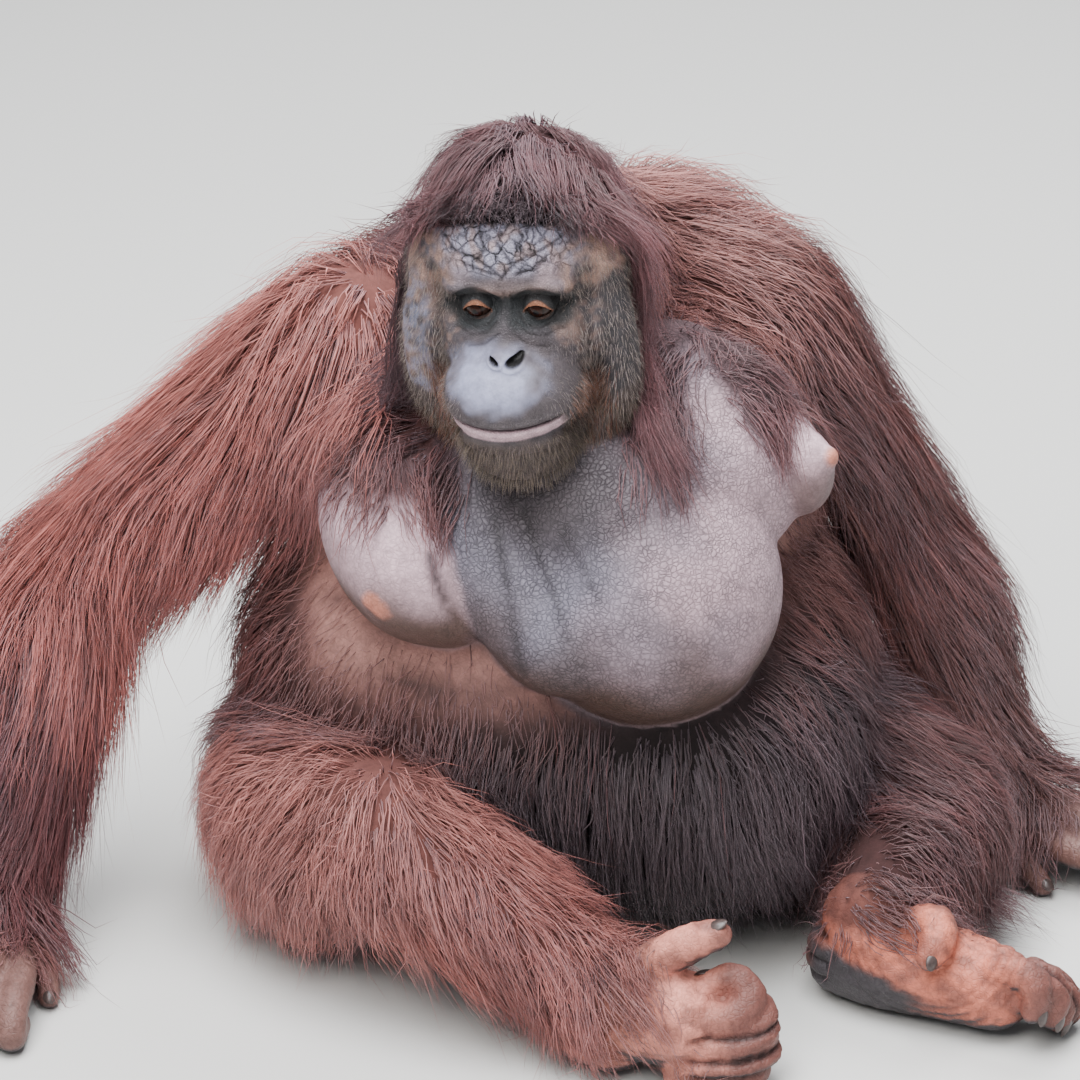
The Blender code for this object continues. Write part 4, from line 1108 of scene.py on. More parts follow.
crack_dip = maths(tree, "MAXIMUM", dip(tree, place, FOREHEAD_CELL_MM, 0.15, crack_mask),
                  dip(tree, place, FOREHEAD_CELL_MM * 0.45, 0.12, maths(tree, "MULTIPLY", crack_mask, 0.35)))
line_dip = dip(tree, place, LINE_MM, 0.25, line_mask)
leather_dip = dip(tree, place, 5.0, 0.16, leather_mask)
# The dips also darken the colour along the grooves of cells, cracks and lines, as painted shade in them.
dark = weighed((pebble_dip, 0.52), (crack_dip, 0.85), (line_dip, 0.30), (leather_dip, 0.14))
light = maths(tree, "SUBTRACT", maths(tree, "MULTIPLY_ADD", blotch.outputs["Fac"], 1.3, 0.42), dark)
shaded = node(tree, "ShaderNodeVectorMath", [("operation", "SCALE")], [(0, tint), ("Scale", light)])
tree.links.new(shaded.outputs[0], shader.inputs["Base Color"])
fine = maths(tree, "MULTIPLY", grain.outputs["Fac"], 0.5)
deep = weighed((pebble_dip, 0.75), (crack_dip, 2.0), (line_dip, 0.45), (leather_dip, 0.35))
height = maths(tree, "SUBTRACT", fine, deep)
relief = node(tree, "ShaderNodeBump", [("Strength", 0.75), ("Distance", 0.0012)], [("Height", height)])
tree.links.new(relief.outputs[0], shader.inputs["Normal"])
dull = maths(tree, "MULTIPLY_ADD", mask_named(tree, "furred").outputs["Fac"], 0.42, 0.54)
tree.links.new(dull, shader.inputs["Roughness"])
shader.inputs["Specular IOR Level"].default_value = 0.34
skin.data.materials.clear()
skin.data.materials.append(hide)
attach(skin, "root")
FLESH = [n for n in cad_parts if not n.startswith("eye")]
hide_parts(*FLESH)
print("skin replaces", len(FLESH), "nodes")

# %% [markdown]
# ## Eyes
# An orangutan's eye is nearly all dark brown, with little white showing. Its life comes from the
# wet, sharp highlight, so the eyeball is very smooth and glossy. The pupil and iris are
# painted by how far each point turns from where the animal looks.

# %% Eyeballs
IRIS_TINTS = {"pupil": linear("#050303"), "iris": linear("#26110a"), "rim": linear("#0d0605"),
              "white": linear("#2c1f1b")}
wet, tree, shader = new_material("wet_dark_eye")
tree.links.new(mask_named(tree, "tint").outputs["Color"], shader.inputs["Base Color"])
shader.inputs["Roughness"].default_value = 0.12
shader.inputs["IOR"].default_value = 1.36
shader.inputs["Specular IOR Level"].default_value = 0.35
GAZE = HEAD_TURN @ np.array([-0.10, -1.0, -0.16])
GAZE /= np.linalg.norm(GAZE)
for side, name in ((-1, "right"), (1, "left")):
    deselect()
    middle = face_point(side * EYE_ACROSS, 0, EYE_DEPTH)
    bpy.ops.mesh.primitive_uv_sphere_add(segments=48, ring_count=32, radius=EYE_RADIUS, location=middle)
    eye = bpy.context.object
    eye.name = "eyeball_" + name
    bpy.ops.object.transform_apply(location=True, rotation=True, scale=True)
    places = positions(eye)
    way = (places - middle) / EYE_RADIUS
    turn_off = np.degrees(np.arccos(np.clip(way @ GAZE, -1, 1)))
    bulge = 0.0006 * soft_step(34, 10, turn_off)
    move_to(eye, places + way * bulge[:, None])
    paint = np.tile(IRIS_TINTS["white"], (len(places), 1))
    for limit, soft, key in ((34, 3, "rim"), (29, 3, "iris"), (11, 2, "pupil")):
        mask = soft_step(limit + soft, limit - soft, turn_off)[:, None]
        paint = paint * (1 - mask) + IRIS_TINTS[key] * mask
    give_attribute(eye.data, "tint", paint)
    bpy.ops.object.shade_smooth()
    eye.data.materials.append(wet)
    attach(eye, "root")
    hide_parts("eye_" + name)
print("two eyes of", EYE_RADIUS * 2000, "mm")

# %% [markdown]
# ## Nails
# Every finger and toe ends in a small dark nail, a curved plate that follows the digit. One
# plate is modelled from a ball by pressing it flat and bowing it, and is then copied to each tip.

# %% Nails
deselect()
bpy.ops.mesh.primitive_uv_sphere_add(segments=20, ring_count=12, radius=1.0)
plate = bpy.context.object
PLATE_POINTS = positions(plate)
PLATE_FACES = []
for polygon in plate.data.polygons:
    corners = list(polygon.vertices)
    PLATE_FACES += [(corners[0], corners[k], corners[k + 1]) for k in range(1, len(corners) - 1)]
PLATE_FACES = np.array(PLATE_FACES)
bpy.data.objects.remove(plate, do_unlink=True)
# Across, along and out: a bowed shield a little longer than wide
PLATE_POINTS = PLATE_POINTS * np.array([0.62, 0.80, 0.16])
PLATE_POINTS[:, 2] -= 0.55 * PLATE_POINTS[:, 0] ** 2 + 0.18 * PLATE_POINTS[:, 1] ** 2
nail_points, nail_faces = [], []
for part, path, radius in DIGIT_TIPS:
    ahead = path[-1] - path[-2]
    ahead /= np.linalg.norm(ahead)
    out = path[-1] - path.mean(axis=0) if len(path) > 3 else np.array([0.0, -0.3, 1.0])
    out = out - ahead * (out @ ahead)
    out /= np.linalg.norm(out)
    axes = np.stack([np.cross(ahead, out), ahead, out])
    middle = path[-1] + out * radius * 0.90 + ahead * radius * 0.25
    nail_faces.append(PLATE_FACES + sum(len(p) for p in nail_points))
    nail_points.append(middle + (PLATE_POINTS * radius) @ axes)
nail_points = np.concatenate(nail_points)
nail_points[:, 2] = np.maximum(nail_points[:, 2], 0.0006)
nails = mesh_object("nails", nail_points, np.concatenate(nail_faces))
edit_whole(nails, bpy.ops.mesh.normals_make_consistent, inside=False)
bpy.ops.object.shade_smooth()
horn, tree, shader = new_material("dark_nail_horn")
streak = node(tree, "ShaderNodeTexNoise", [("Scale", 400.0), ("Detail", 3.0)],
              [("Vector", node(tree, "ShaderNodeTexCoord").outputs["Object"])])
horn_tone = node(tree, "ShaderNodeValToRGB", [], [("Fac", streak.outputs["Fac"])])
horn_tone.color_ramp.elements[0].color = (*linear("#1e1a1b"), 1)
horn_tone.color_ramp.elements[1].color = (*linear("#5a4a46"), 1)
tree.links.new(horn_tone.outputs["Color"], shader.inputs["Base Color"])
shader.inputs["Roughness"].default_value = 0.35
nails.data.materials.append(horn)
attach(nails, "root")
print(len(DIGIT_TIPS), "nails")

# %% [markdown]
# ## The coat
# The coat is made of thin solid tufts. It could be combed hair curves, but those are lost when
# the model is exported, so each tuft is a small closed blade with three sides that narrows to
# its tip. First come guides, one for each square centimetre or so, which follow the lie of the
# coat over the skin and hang where the body turns away under them. Tufts then grow round each
# guide and draw together towards its tip, which makes the locks.

# %% Where hair grows
DOWN = np.array([0.0, 0.0, -1.0])
PART_AT = {name: k for k, name in enumerate(PARTS)}


def unit(vectors):
    return vectors / np.maximum(np.linalg.norm(vectors, axis=1), 1e-9)[:, None]


def hairline(up):
    """Half the width of the bare face at a height."""
    heights = [-0.24, -0.19, -0.15, -0.10, -0.03, 0.0, 0.020, 0.045, 0.062, 0.078, 0.088]
    halves = [0.024, 0.046, 0.064, 0.082, 0.087, 0.085, 0.081, 0.073, 0.060, 0.038, 0.0]
    return np.interp(up, heights, halves)


def is_part(parts, *names):
    """Whether each part's number stands for one of the names."""
    return np.isin(parts, [PART_AT[name] for name in names])


def thickness(points, outs, parts):
    """How densely long hair grows, from 0 to 1, for points with their outward sides and parts."""
    _, u, f = in_face(points)
    x, y, z = points.T
    grown = is_part(parts, *HAIRY).astype(float)
    head = is_part(parts, "head")
    on_head = soft_step(-0.058, -0.070, f - np.maximum(0, u - 0.040) * 1.7)
    grown = np.where(head, on_head, grown)
    grown = np.where(is_part(parts, "torso"), 1 - 0.82 * bare_front(points, outs[:, 1]), grown)
    grown = np.where(is_part(parts, "neck"), soft_step(-0.92, -0.75, outs[:, 1]), grown)
    high = soft_step(0.680, 0.710, z + 0.97 * x) * soft_step(0.06, 0.09, x)
    high += soft_step(0.545, 0.575, z) * soft_step(0.09, 0.06, x)
    high += soft_step(-0.05, -0.08, x) * soft_step(0.445, 0.475, z)
    high += soft_step(0.140, 0.112, x) * soft_step(0.06, 0.08, x) * soft_step(0.495, 0.520, z)
    grown = np.where(is_part(parts, "throat_sac", "breast_right"), 0.9 * np.clip(high, 0, 1), grown)
    under = soft_step(0.030, 0.015, z) * soft_step(-0.1, -0.5, outs[:, 2])
    feet = is_part(parts, "foot_right", "foot_left")
    near_ankle = np.minimum(distance(points, ANKLE_RIGHT), distance(points, ANKLE_LEFT))
    over_foot = np.maximum(soft_step(0.080, 0.050, near_ankle), soft_step(0.30, 0.40, x) * (y > -0.24))
    over_foot = np.maximum(over_foot, 0.5 * soft_step(0.055, 0.035, z) * soft_step(0.15, 0.12, x))
    grown = np.where(feet, 0.8 * over_foot * soft_step(-0.5, 0.0, outs[:, 2]), grown)
    heel = (feet | is_part(parts, "shin_left")) & (y < -0.12)
    bare_heel = soft_step(0.225, 0.245, x) * soft_step(0.092, 0.078, z)
    grown = np.where(heel, grown * (1 - bare_heel), grown)
    near_wrist = np.minimum(distance(points, WRIST_RIGHT), distance(points, WRIST_LEFT))
    over_hand = 0.9 * soft_step(0.10, 0.06, near_wrist) * soft_step(-0.4, 0.1, outs[:, 2])
    grown = np.where(is_part(parts, "hand_right", "hand_left"), over_hand, grown)
    return grown * (1 - under)


# %% [markdown]
# The lie is a direction for every place. On the head the hair runs away from a whorl on the
# crown, on the arms and legs along the bone and outwards, and on the trunk down and back.

# %% The lie of the coat
CROWN_WHORL = face_point(0.012, 0.100, -0.135)
KNEE_WHORL = KNEE_RIGHT + np.array([0.0, 0.020, 0.045])
SWIRL = 0.30


def lie(points, outs, parts):
    """The way the coat lies at each point, before it is laid along the skin."""
    x, u, _ = in_face(points)
    way = np.tile(DOWN, (len(points), 1)).astype(float)

    def put(name, vectors):
        mask = is_part(parts, name)
        way[mask] = vectors[mask] if np.ndim(vectors) == 2 else vectors

    side = np.where(x > 0, 1.0, -1.0)
    away = unit(points - CROWN_WHORL)
    aside = np.stack([side * 0.66, np.full(len(x), 0.04), np.full(len(x), -0.6)], 1) @ HEAD_TURN.T
    beside = (soft_step(0.035, 0.060, abs(x)) * soft_step(0.08, 0.04, u))[:, None]
    put("head", away * (1 - 0.75 * beside) + aside * beside + DOWN * 0.65)
    put("ear", away + DOWN)
    put("neck", np.stack([points[:, 0] * 4, np.where(outs[:, 1] > 0, 0.35, 0.0), np.full(len(x), -1.0)], 1))
    shoulders = soft_step(0.46, 0.56, points[:, 2])
    put("torso", np.stack([points[:, 0] * (1.6 + 5.0 * shoulders), 0.15 + 0.35 * shoulders,
                           -1.0 + 0.4 * shoulders], 1))
    beside_head = soft_step(0.16, 0.13, points[:, 0])[:, None]
    outwards, inwards = np.array([0.5, -0.1, -1.0]), np.array([-0.05, -0.2, -1.0])
    put("throat_sac", outwards * (1 - beside_head) + inwards * beside_head)
    bone = ELBOW_RIGHT - SHOULDER_RIGHT
    down_arm = ((points - SHOULDER_RIGHT) @ bone / (bone @ bone))[:, None]
    along_bone = 0.40 + 0.60 * soft_step(-0.1, 0.45, down_arm)
    put("upper_arm_right", bone / 0.33 * along_bone + DOWN * (1.0 - 0.5 * soft_step(0.0, 0.5, down_arm)))
    put("upper_arm_left", (ELBOW_LEFT - SHOULDER_LEFT) / 0.26 + np.array([0.45, 0, -0.2]))
    put("forearm_right", (WRIST_RIGHT - ELBOW_RIGHT) / 0.30 + np.array([-0.25, 0, -0.1]))
    put("forearm_left", (WRIST_LEFT - ELBOW_LEFT) / 0.30 + np.array([0.55, 0, -0.1]))
    put("hand_right", WRIST_RIGHT - ELBOW_RIGHT)
    put("hand_left", WRIST_LEFT - ELBOW_LEFT)
    put("thigh_right", unit(points - KNEE_WHORL) + DOWN * 0.9)
    put("shin_right", (ANKLE_RIGHT - KNEE_RIGHT) / 0.23 + DOWN * 0.8)
    put("foot_right", (ANKLE_RIGHT - KNEE_RIGHT) / 0.23 + DOWN * 0.4)
    for name in ("thigh_left", "shin_left", "foot_left"):
        put(name, np.array([0.75, -0.1, -1.0]))
    swirl = np.stack([waves(points, 0.05, seed) for seed in (21, 22, 23)], 1)
    return unit(unit(way) + swirl * SWIRL)


# %% [markdown]
# Each region has its own length, width and height of hair, and its own colour at the tips; the roots
# are darker, as painted shade deep in the coat. The coat is maroon on the arms and legs and nearly
# black on the belly, with painted shade under the belly's folds. The forelock and the hair to the
# face's right are painted nearly black as painted shade, and the head's left side is painted lighter
# as painted light. The right arm, thigh and shin are painted lighter as painted light, the tops of
# the shoulders and back are painted paler as painted light from above, and the lower flank has a
# painted lilac sheen.

# %% Lengths and colours of the coat
# part: length, tuft width, height of the coat, colour of the tips
COAT = {
    "head": (0.145, 0.00090, 0.038, "#6c4346"),
    "neck": (0.140, 0.00095, 0.030, "#84524f"),
    "torso": (0.130, 0.00100, 0.026, "#6a3c39"),
    "breast_right": (0.060, 0.00080, 0.012, "#84524f"),
    "throat_sac": (0.080, 0.00090, 0.010, "#6f484a"),
    # The right upper arm, thigh and shin are painted lighter than the left ones, as painted light on the
    # side that faces the light.
    "upper_arm_right": (0.200, 0.00105, 0.038, "#bb6a60"),
    "upper_arm_left": (0.180, 0.00100, 0.036, "#6c3b35"),
    "forearm_right": (0.170, 0.00105, 0.034, "#673637"),
    "forearm_left": (0.165, 0.00100, 0.034, "#6c443f"),
    "thigh_right": (0.110, 0.00095, 0.020, "#c67f76"),
    "shin_right": (0.105, 0.00095, 0.018, "#ab665e"),
    "thigh_left": (0.110, 0.00095, 0.018, "#6c4443"),
    "shin_left": (0.105, 0.00095, 0.016, "#6c4443"),
    "foot_right": (0.045, 0.00075, 0.006, "#9a6862"),
    "foot_left": (0.080, 0.00085, 0.012, "#7a504e"),
    "hand_right": (0.060, 0.00085, 0.008, "#8a5854"),
    "hand_left": (0.060, 0.00085, 0.008, "#7a504e"),
}
# Roots, and the skin under the hair more so, are darkened as painted shade deep in the coat.
ROOT_SHADE = 0.40
SHADE_UNDER_HAIR = 0.55
THIN_BELLY = linear("#a26f69")
SHADED_FORELOCK, DARK_BELLY_AND_SHADE, LIT_SHOULDERS, FLANK_SHEEN, SHADE_BESIDE_FACE, SUNLIT = (
    linear(code) for code in ("#231f23", "#2a2426", "#c4847b", "#5d484f", "#33242a", "#9c666a"))


def coat_value(parts, column):
    table = np.array([COAT.get(name, COAT["torso"])[column] for name in PARTS])
    return table[parts]


COLOUR_BLEND = 0.014


def coat_colour(points, outs, parts):
    """The colour of the tips, with painted light and shade in it; roots are darker by the root factor, as
    painted shade deep in the coat.
    """
    table = np.array([linear(COAT.get(name, COAT["torso"])[3]) for name in PARTS])
    near = nearness(points)
    share = np.exp((near.min(axis=1, keepdims=True) - near) / COLOUR_BLEND)
    found = (share / share.sum(axis=1, keepdims=True)) @ table
    x, _, z = points.T
    a, _, f = in_face(points)

    def blend(mask, tint):
        return found * (1 - mask[:, None]) + tint * mask[:, None]

    head = is_part(parts, "head").astype(float)
    # Painted shade: the forelock over the brow is painted nearly black.
    found = blend(head * soft_step(-0.060, -0.030, f) * soft_step(0.055, 0.030, abs(a)) * 0.85, SHADED_FORELOCK)
    front = is_part(parts, "torso") * soft_step(0.1, -0.4, outs[:, 1]) * soft_step(0.33, 0.26, z)
    # The lower belly's hair is dark, and it is painted darker still as painted shade under the belly's
    # folds.
    found = blend(front * soft_step(-0.16, -0.02, x) * 0.9, DARK_BELLY_AND_SHADE)
    # A painted lilac sheen on the hair of the lower flank.
    found = blend(front * soft_step(0.12, 0.22, x) * 0.7, FLANK_SHEEN)
    # Painted shade darkens the hair beside the face on the head's right, and painted light lightens it on
    # the left.
    found = blend(head * soft_step(-0.050, -0.075, a) * soft_step(-0.13, -0.07, f) * 0.65, SHADE_BESIDE_FACE)
    found = blend(head * soft_step(0.050, 0.075, a) * soft_step(-0.13, -0.07, f) * 0.45, SUNLIT)
    # Painted light on the tops of the shoulders and the upper back, which face the light from above.
    high = soft_step(0.46, 0.60, z) * soft_step(0.22, 0.15, x)
    high *= is_part(parts, "torso", "neck", "upper_arm_left")
    found = blend(high * soft_step(-0.10, 0.08, x) * 0.75, LIT_SHOULDERS)
    shoulder = soft_step(0.50, 0.58, z) * is_part(parts, "upper_arm_right")
    return blend(shoulder * 0.3, LIT_SHOULDERS)


print(len(COAT), "kinds of coat")

# %% [markdown]
# Roots are drawn at random on the skin's triangles, more where the coat is thicker. Each root
# keeps its place on the skin's unwrap, and its tuft gets a small patch about that place as its own unwrap.

# %% Roots
dice = np.random.default_rng(11)
mesh = skin.data
mesh.calc_loop_triangles()
count = len(mesh.loop_triangles)
TRI_POINTS = np.empty(count * 3, dtype=np.int32)
mesh.loop_triangles.foreach_get("vertices", TRI_POINTS)
TRI_POINTS = TRI_POINTS.reshape(-1, 3)
TRI_LOOPS = np.empty(count * 3, dtype=np.int32)
mesh.loop_triangles.foreach_get("loops", TRI_LOOPS)
TRI_LOOPS = TRI_LOOPS.reshape(-1, 3)
UNWRAP = np.empty(len(mesh.loops) * 2, dtype=np.float32)
mesh.uv_layers[0].data.foreach_get("uv", UNWRAP)
UNWRAP = UNWRAP.reshape(-1, 2)
POINTS = positions(skin)
OUTS = normals(skin)
corners = POINTS[TRI_POINTS]
TRI_AREA = np.linalg.norm(np.cross(corners[:, 1] - corners[:, 0], corners[:, 2] - corners[:, 0]), axis=1) / 2
POINT_HAIR = thickness(POINTS, OUTS, OWN_PART)
TRI_HAIR = POINT_HAIR[TRI_POINTS].mean(axis=1)
TRI_PART = OWN_PART[TRI_POINTS[:, 0]]
# The skin under the coat is painted darker than the roots, as painted shade under the hair.
under = coat_colour(POINTS, OUTS, OWN_PART) * ROOT_SHADE * SHADE_UNDER_HAIR
colour = colour * (1 - POINT_HAIR[:, None]) + under * POINT_HAIR[:, None]
give_attribute(skin.data, "tint", colour)
give_attribute(skin.data, "furred", POINT_HAIR)
print("haired skin:", round(float((TRI_AREA * TRI_HAIR).sum()), 2), "square metres")


def draw_roots(number, weight):
    """Random places on the skin by a weight for each triangle: place, outward side, part, unwrap."""
    chance = TRI_AREA * weight
    steps = np.cumsum(chance)
    picked = np.searchsorted(steps, (np.arange(number) + dice.random(number)) / number * steps[-1])
    picked = np.minimum(picked, len(steps) - 1)
    a, b = dice.random(number), dice.random(number)
    over = a + b > 1
    a[over], b[over] = 1 - a[over], 1 - b[over]
    shares = np.stack([1 - a - b, a, b], 1)
    place = (POINTS[TRI_POINTS[picked]] * shares[:, :, None]).sum(axis=1)
    out = unit((OUTS[TRI_POINTS[picked]] * shares[:, :, None]).sum(axis=1))
    unwrap = (UNWRAP[TRI_LOOPS[picked]] * shares[:, :, None]).sum(axis=1)
    return place, out, TRI_PART[picked], unwrap


# %% [markdown]
# A guide walks over the skin in short steps. At each step it turns to the lie, gives way to its
# own weight, and is held at its height over the skin, unless the skin faces down and it hangs.

# %% Guides
GUIDES = 11000
STEPS = 8
HAIR_WEIGHT = 0.09
HOLD = 0.72
FACE_HAIR_CUT, MOST_CUTS = 0.62, 4
SKIN_TREE = BVHTree.FromPolygons([tuple(p) for p in POINTS], [tuple(t) for t in TRI_POINTS])


def nearest_skin(points):
    """The nearest place of the skin, its outward side and its part for each point."""
    spots = np.empty((len(points), 3))
    outs = np.empty((len(points), 3))
    parts = np.empty(len(points), dtype=int)
    for k, point in enumerate(points):
        spot, out, triangle, _ = SKIN_TREE.find_nearest(point)
        spots[k], outs[k], parts[k] = spot, out, TRI_PART[triangle]
    return spots, outs, parts


def over_face(points):
    """Whether points hang in front of the bare face."""
    x, u, f = in_face(points)
    return (f > -0.055) & (abs(x) < hairline(u)) & (u > -0.185) & (u < 0.088)


def walk(start, outs, parts, length, lift):
    """Walks the guides from their roots; returns their points, one row for each guide."""
    at, out, part = start.copy(), outs.copy(), parts.copy()
    path = [at.copy()]
    step = (length / STEPS)[:, None]
    for k in range(1, STEPS + 1):
        way = lie(at, out, part)
        way = unit(way - out * (way * out).sum(axis=1)[:, None])
        way = unit(way + DOWN * HAIR_WEIGHT * k)
        at = at + way * step
        spot, face_out, part = nearest_skin(at)
        height = ((at - spot) * face_out).sum(axis=1)
        wanted = lift * min(1.0, 0.25 + 1.1 * k / STEPS)
        low = height < wanted
        hang = (~low) & (face_out[:, 2] < -0.2)
        held = np.where(low, 1.0, HOLD)
        held[hang] = 0.0
        at = at + (spot + face_out * wanted[:, None] - at) * held[:, None]
        turned = unit(face_out * 0.65 + out * 0.35)
        out = np.where(hang[:, None], out, turned)
        at[:, 2] = np.maximum(at[:, 2], 0.003 + 0.3 * wanted * (at[:, 2] < 0.02))
        path.append(at.copy())
    return np.stack(path, 1)


guide_place, guide_out, guide_part, _ = draw_roots(GUIDES, TRI_HAIR)
guide_length = coat_value(guide_part, 0) * dice.uniform(0.70, 1.15, GUIDES)
_, u, f = in_face(guide_place)
on_head = is_part(guide_part, "head")
guide_length = np.where(on_head, guide_length * (0.55 + 0.65 * soft_step(0.08, 0.02, u)), guide_length)
guide_length = np.where(on_head & (f > -0.05) & (u > 0.03), guide_length * 0.50, guide_length)
bare = bare_front(guide_place, guide_out[:, 1]) * is_part(guide_part, "torso")
guide_length = guide_length * (1 - 0.62 * bare)
guide_lift = coat_value(guide_part, 2) * dice.uniform(0.25, 1.0, GUIDES) * (1 - 0.85 * bare)
from_whorl = distance(guide_place, CROWN_WHORL)
guide_lift = np.where(on_head, guide_lift * (0.45 + 0.55 * soft_step(0.02, 0.09, from_whorl)), guide_lift)
GUIDE = walk(guide_place, guide_out, guide_part, guide_length, guide_lift)
again = np.arange(GUIDES)
for _ in range(MOST_CUTS):
    hits = over_face(GUIDE[again][:, 2:].reshape(-1, 3)).reshape(len(again), -1).any(axis=1)
    again = again[hits]
    if not len(again):
        break
    guide_length[again] *= FACE_HAIR_CUT
    GUIDE[again] = walk(guide_place[again], guide_out[again], guide_part[again], guide_length[again],
                        guide_lift[again] * 0.7)
clear = ~over_face(GUIDE[:, 3:].reshape(-1, 3)).reshape(GUIDES, -1).any(axis=1)
KEPT_GUIDES = np.nonzero(clear)[0]
print("guides kept:", len(KEPT_GUIDES), "of", GUIDES)

# %% [markdown]
# Guides near each other are drawn together into locks, more so towards their tips.

# %% Locks
def nearest_of(points, choices):
    tree = KDTree(len(choices))
    for k, point in enumerate(choices):
        tree.insert(point, k)
    tree.balance()
    return np.array([tree.find(p)[1] for p in points])


LOCK_SHARE = 9
LOCK_PULL = 0.55
leaders = KEPT_GUIDES[::LOCK_SHARE]
leader_of = leaders[nearest_of(GUIDE[:, 0], GUIDE[leaders, 0])]
gap = np.linalg.norm(GUIDE[leader_of, 0] - GUIDE[:, 0], axis=1)
same = (gap < 0.06) & (abs(guide_length[leader_of] - guide_length) < guide_length * 0.5)
along = (np.linspace(0, 1, STEPS + 1) ** 1.4)[None, :, None]
GUIDE = GUIDE + (GUIDE[leader_of] - GUIDE) * along * LOCK_PULL * same[:, None, None]
LOCK_TONE = 1 + 0.20 * np.sin(leader_of * 12.9898) + 0.07 * np.sin(np.arange(GUIDES) * 78.233)
print(len(leaders), "locks")

# %% [markdown]
# A tuft is a blade of three sides. Its rings follow the guide from the tuft's own root, draw
# near the guide towards the tip, and wave a little. All tufts of one region are one mesh.

# %% Tufts
BLADE_PROFILE = {4: (0.75, 1.0, 0.80, 0.45), 3: (0.80, 1.0, 0.55), 2: (1.0, 0.6)}
BLADE_THICKNESS = 0.34
LOWEST_TIP, LOWEST_POINT = 0.0012, 0.0004
PATCH = 0.003
ROOT_SINK = 0.003
EDGE = 0.02 * (BOX_HIGH - BOX_LOW)


def blades(points, outs, width, rings):
    """Closed blades along points (tuft, ring, xyz); returns the vertices and faces."""
    number = len(points)
    ahead = np.empty_like(points)
    ahead[:, 1:-1] = points[:, 2:] - points[:, :-2]
    ahead[:, 0] = points[:, 1] - points[:, 0]
    ahead[:, -1] = points[:, -1] - points[:, -2]
    ahead /= np.maximum(np.linalg.norm(ahead, axis=2), 1e-9)[:, :, None]
    out = outs[:, None, :] - ahead * (ahead * outs[:, None, :]).sum(axis=2)[:, :, None]
    out /= np.maximum(np.linalg.norm(out, axis=2), 1e-9)[:, :, None]
    side = np.cross(ahead, out)
    profile = np.array(BLADE_PROFILE[rings])
    half = (width[:, None] * profile[None, :] / 2)[:, :, None]
    middle = points[:, :rings]
    one = middle + side[:, :rings] * half
    two = middle - side[:, :rings] * half
    top = middle + out[:, :rings] * half * BLADE_THICKNESS * 2
    body = np.stack([one, top, two], 2).reshape(number, rings * 3, 3)
    vertices = np.concatenate([body, points[:, -1:]], 1)
    faces = [(0, 2, 1)]
    for k in range(rings - 1):
        for c in range(3):
            a, b = 3 * k + c, 3 * k + (c + 1) % 3
            faces += [(a, b, b + 3), (a, b + 3, a + 3)]
    for c in range(3):
        faces.append((3 * (rings - 1) + c, 3 * (rings - 1) + (c + 1) % 3, rings * 3))
    faces = np.array(faces)
    per = rings * 3 + 1
    every = (faces[None] + (np.arange(number) * per)[:, None, None]).reshape(-1, 3)
    return vertices, every


def tuft_object(name, points, outs, width, rings, unwrap, low, high):
    """One coat piece: blades with their colours and their patches on the skin's unwrap."""
    inside = np.clip(points, BOX_LOW - EDGE * 0.9, BOX_HIGH + EDGE * 0.9)
    inside[:, :, 2] = np.maximum(inside[:, :, 2], LOWEST_TIP)
    vertices, faces = blades(inside, outs, width, rings)
    vertices[:, :, 2] = np.maximum(vertices[:, :, 2], LOWEST_POINT)
    made = mesh_object(name, vertices.reshape(-1, 3), faces)
    share = np.append(np.repeat(np.arange(rings) / rings, 3), 1.0)[None, :, None]
    tones = low[:, None, :] * (1 - share) + high[:, None, :] * share
    give_attribute(made.data, "tint", tones.reshape(-1, 3))
    spot = np.stack([np.append(np.tile([0.0, 0.5, 1.0], rings), 0.5), share[0, :, 0]], 1) - 0.5
    patch = (unwrap[:, None, :] + spot[None] * PATCH).reshape(-1, 2)
    layer = made.data.uv_layers.new(name="OFBake")
    layer.data.foreach_set("uv", patch[faces.ravel()].astype(np.float32).ravel())
    choose(made)
    bpy.ops.object.shade_smooth()
    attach(made, "root")
    print(name, len(faces), "triangles")
    return made


RANDOM_GAIN = 0.20
CLOSE_TO_GUIDE = 0.035
STRAY_REACH = 0.016


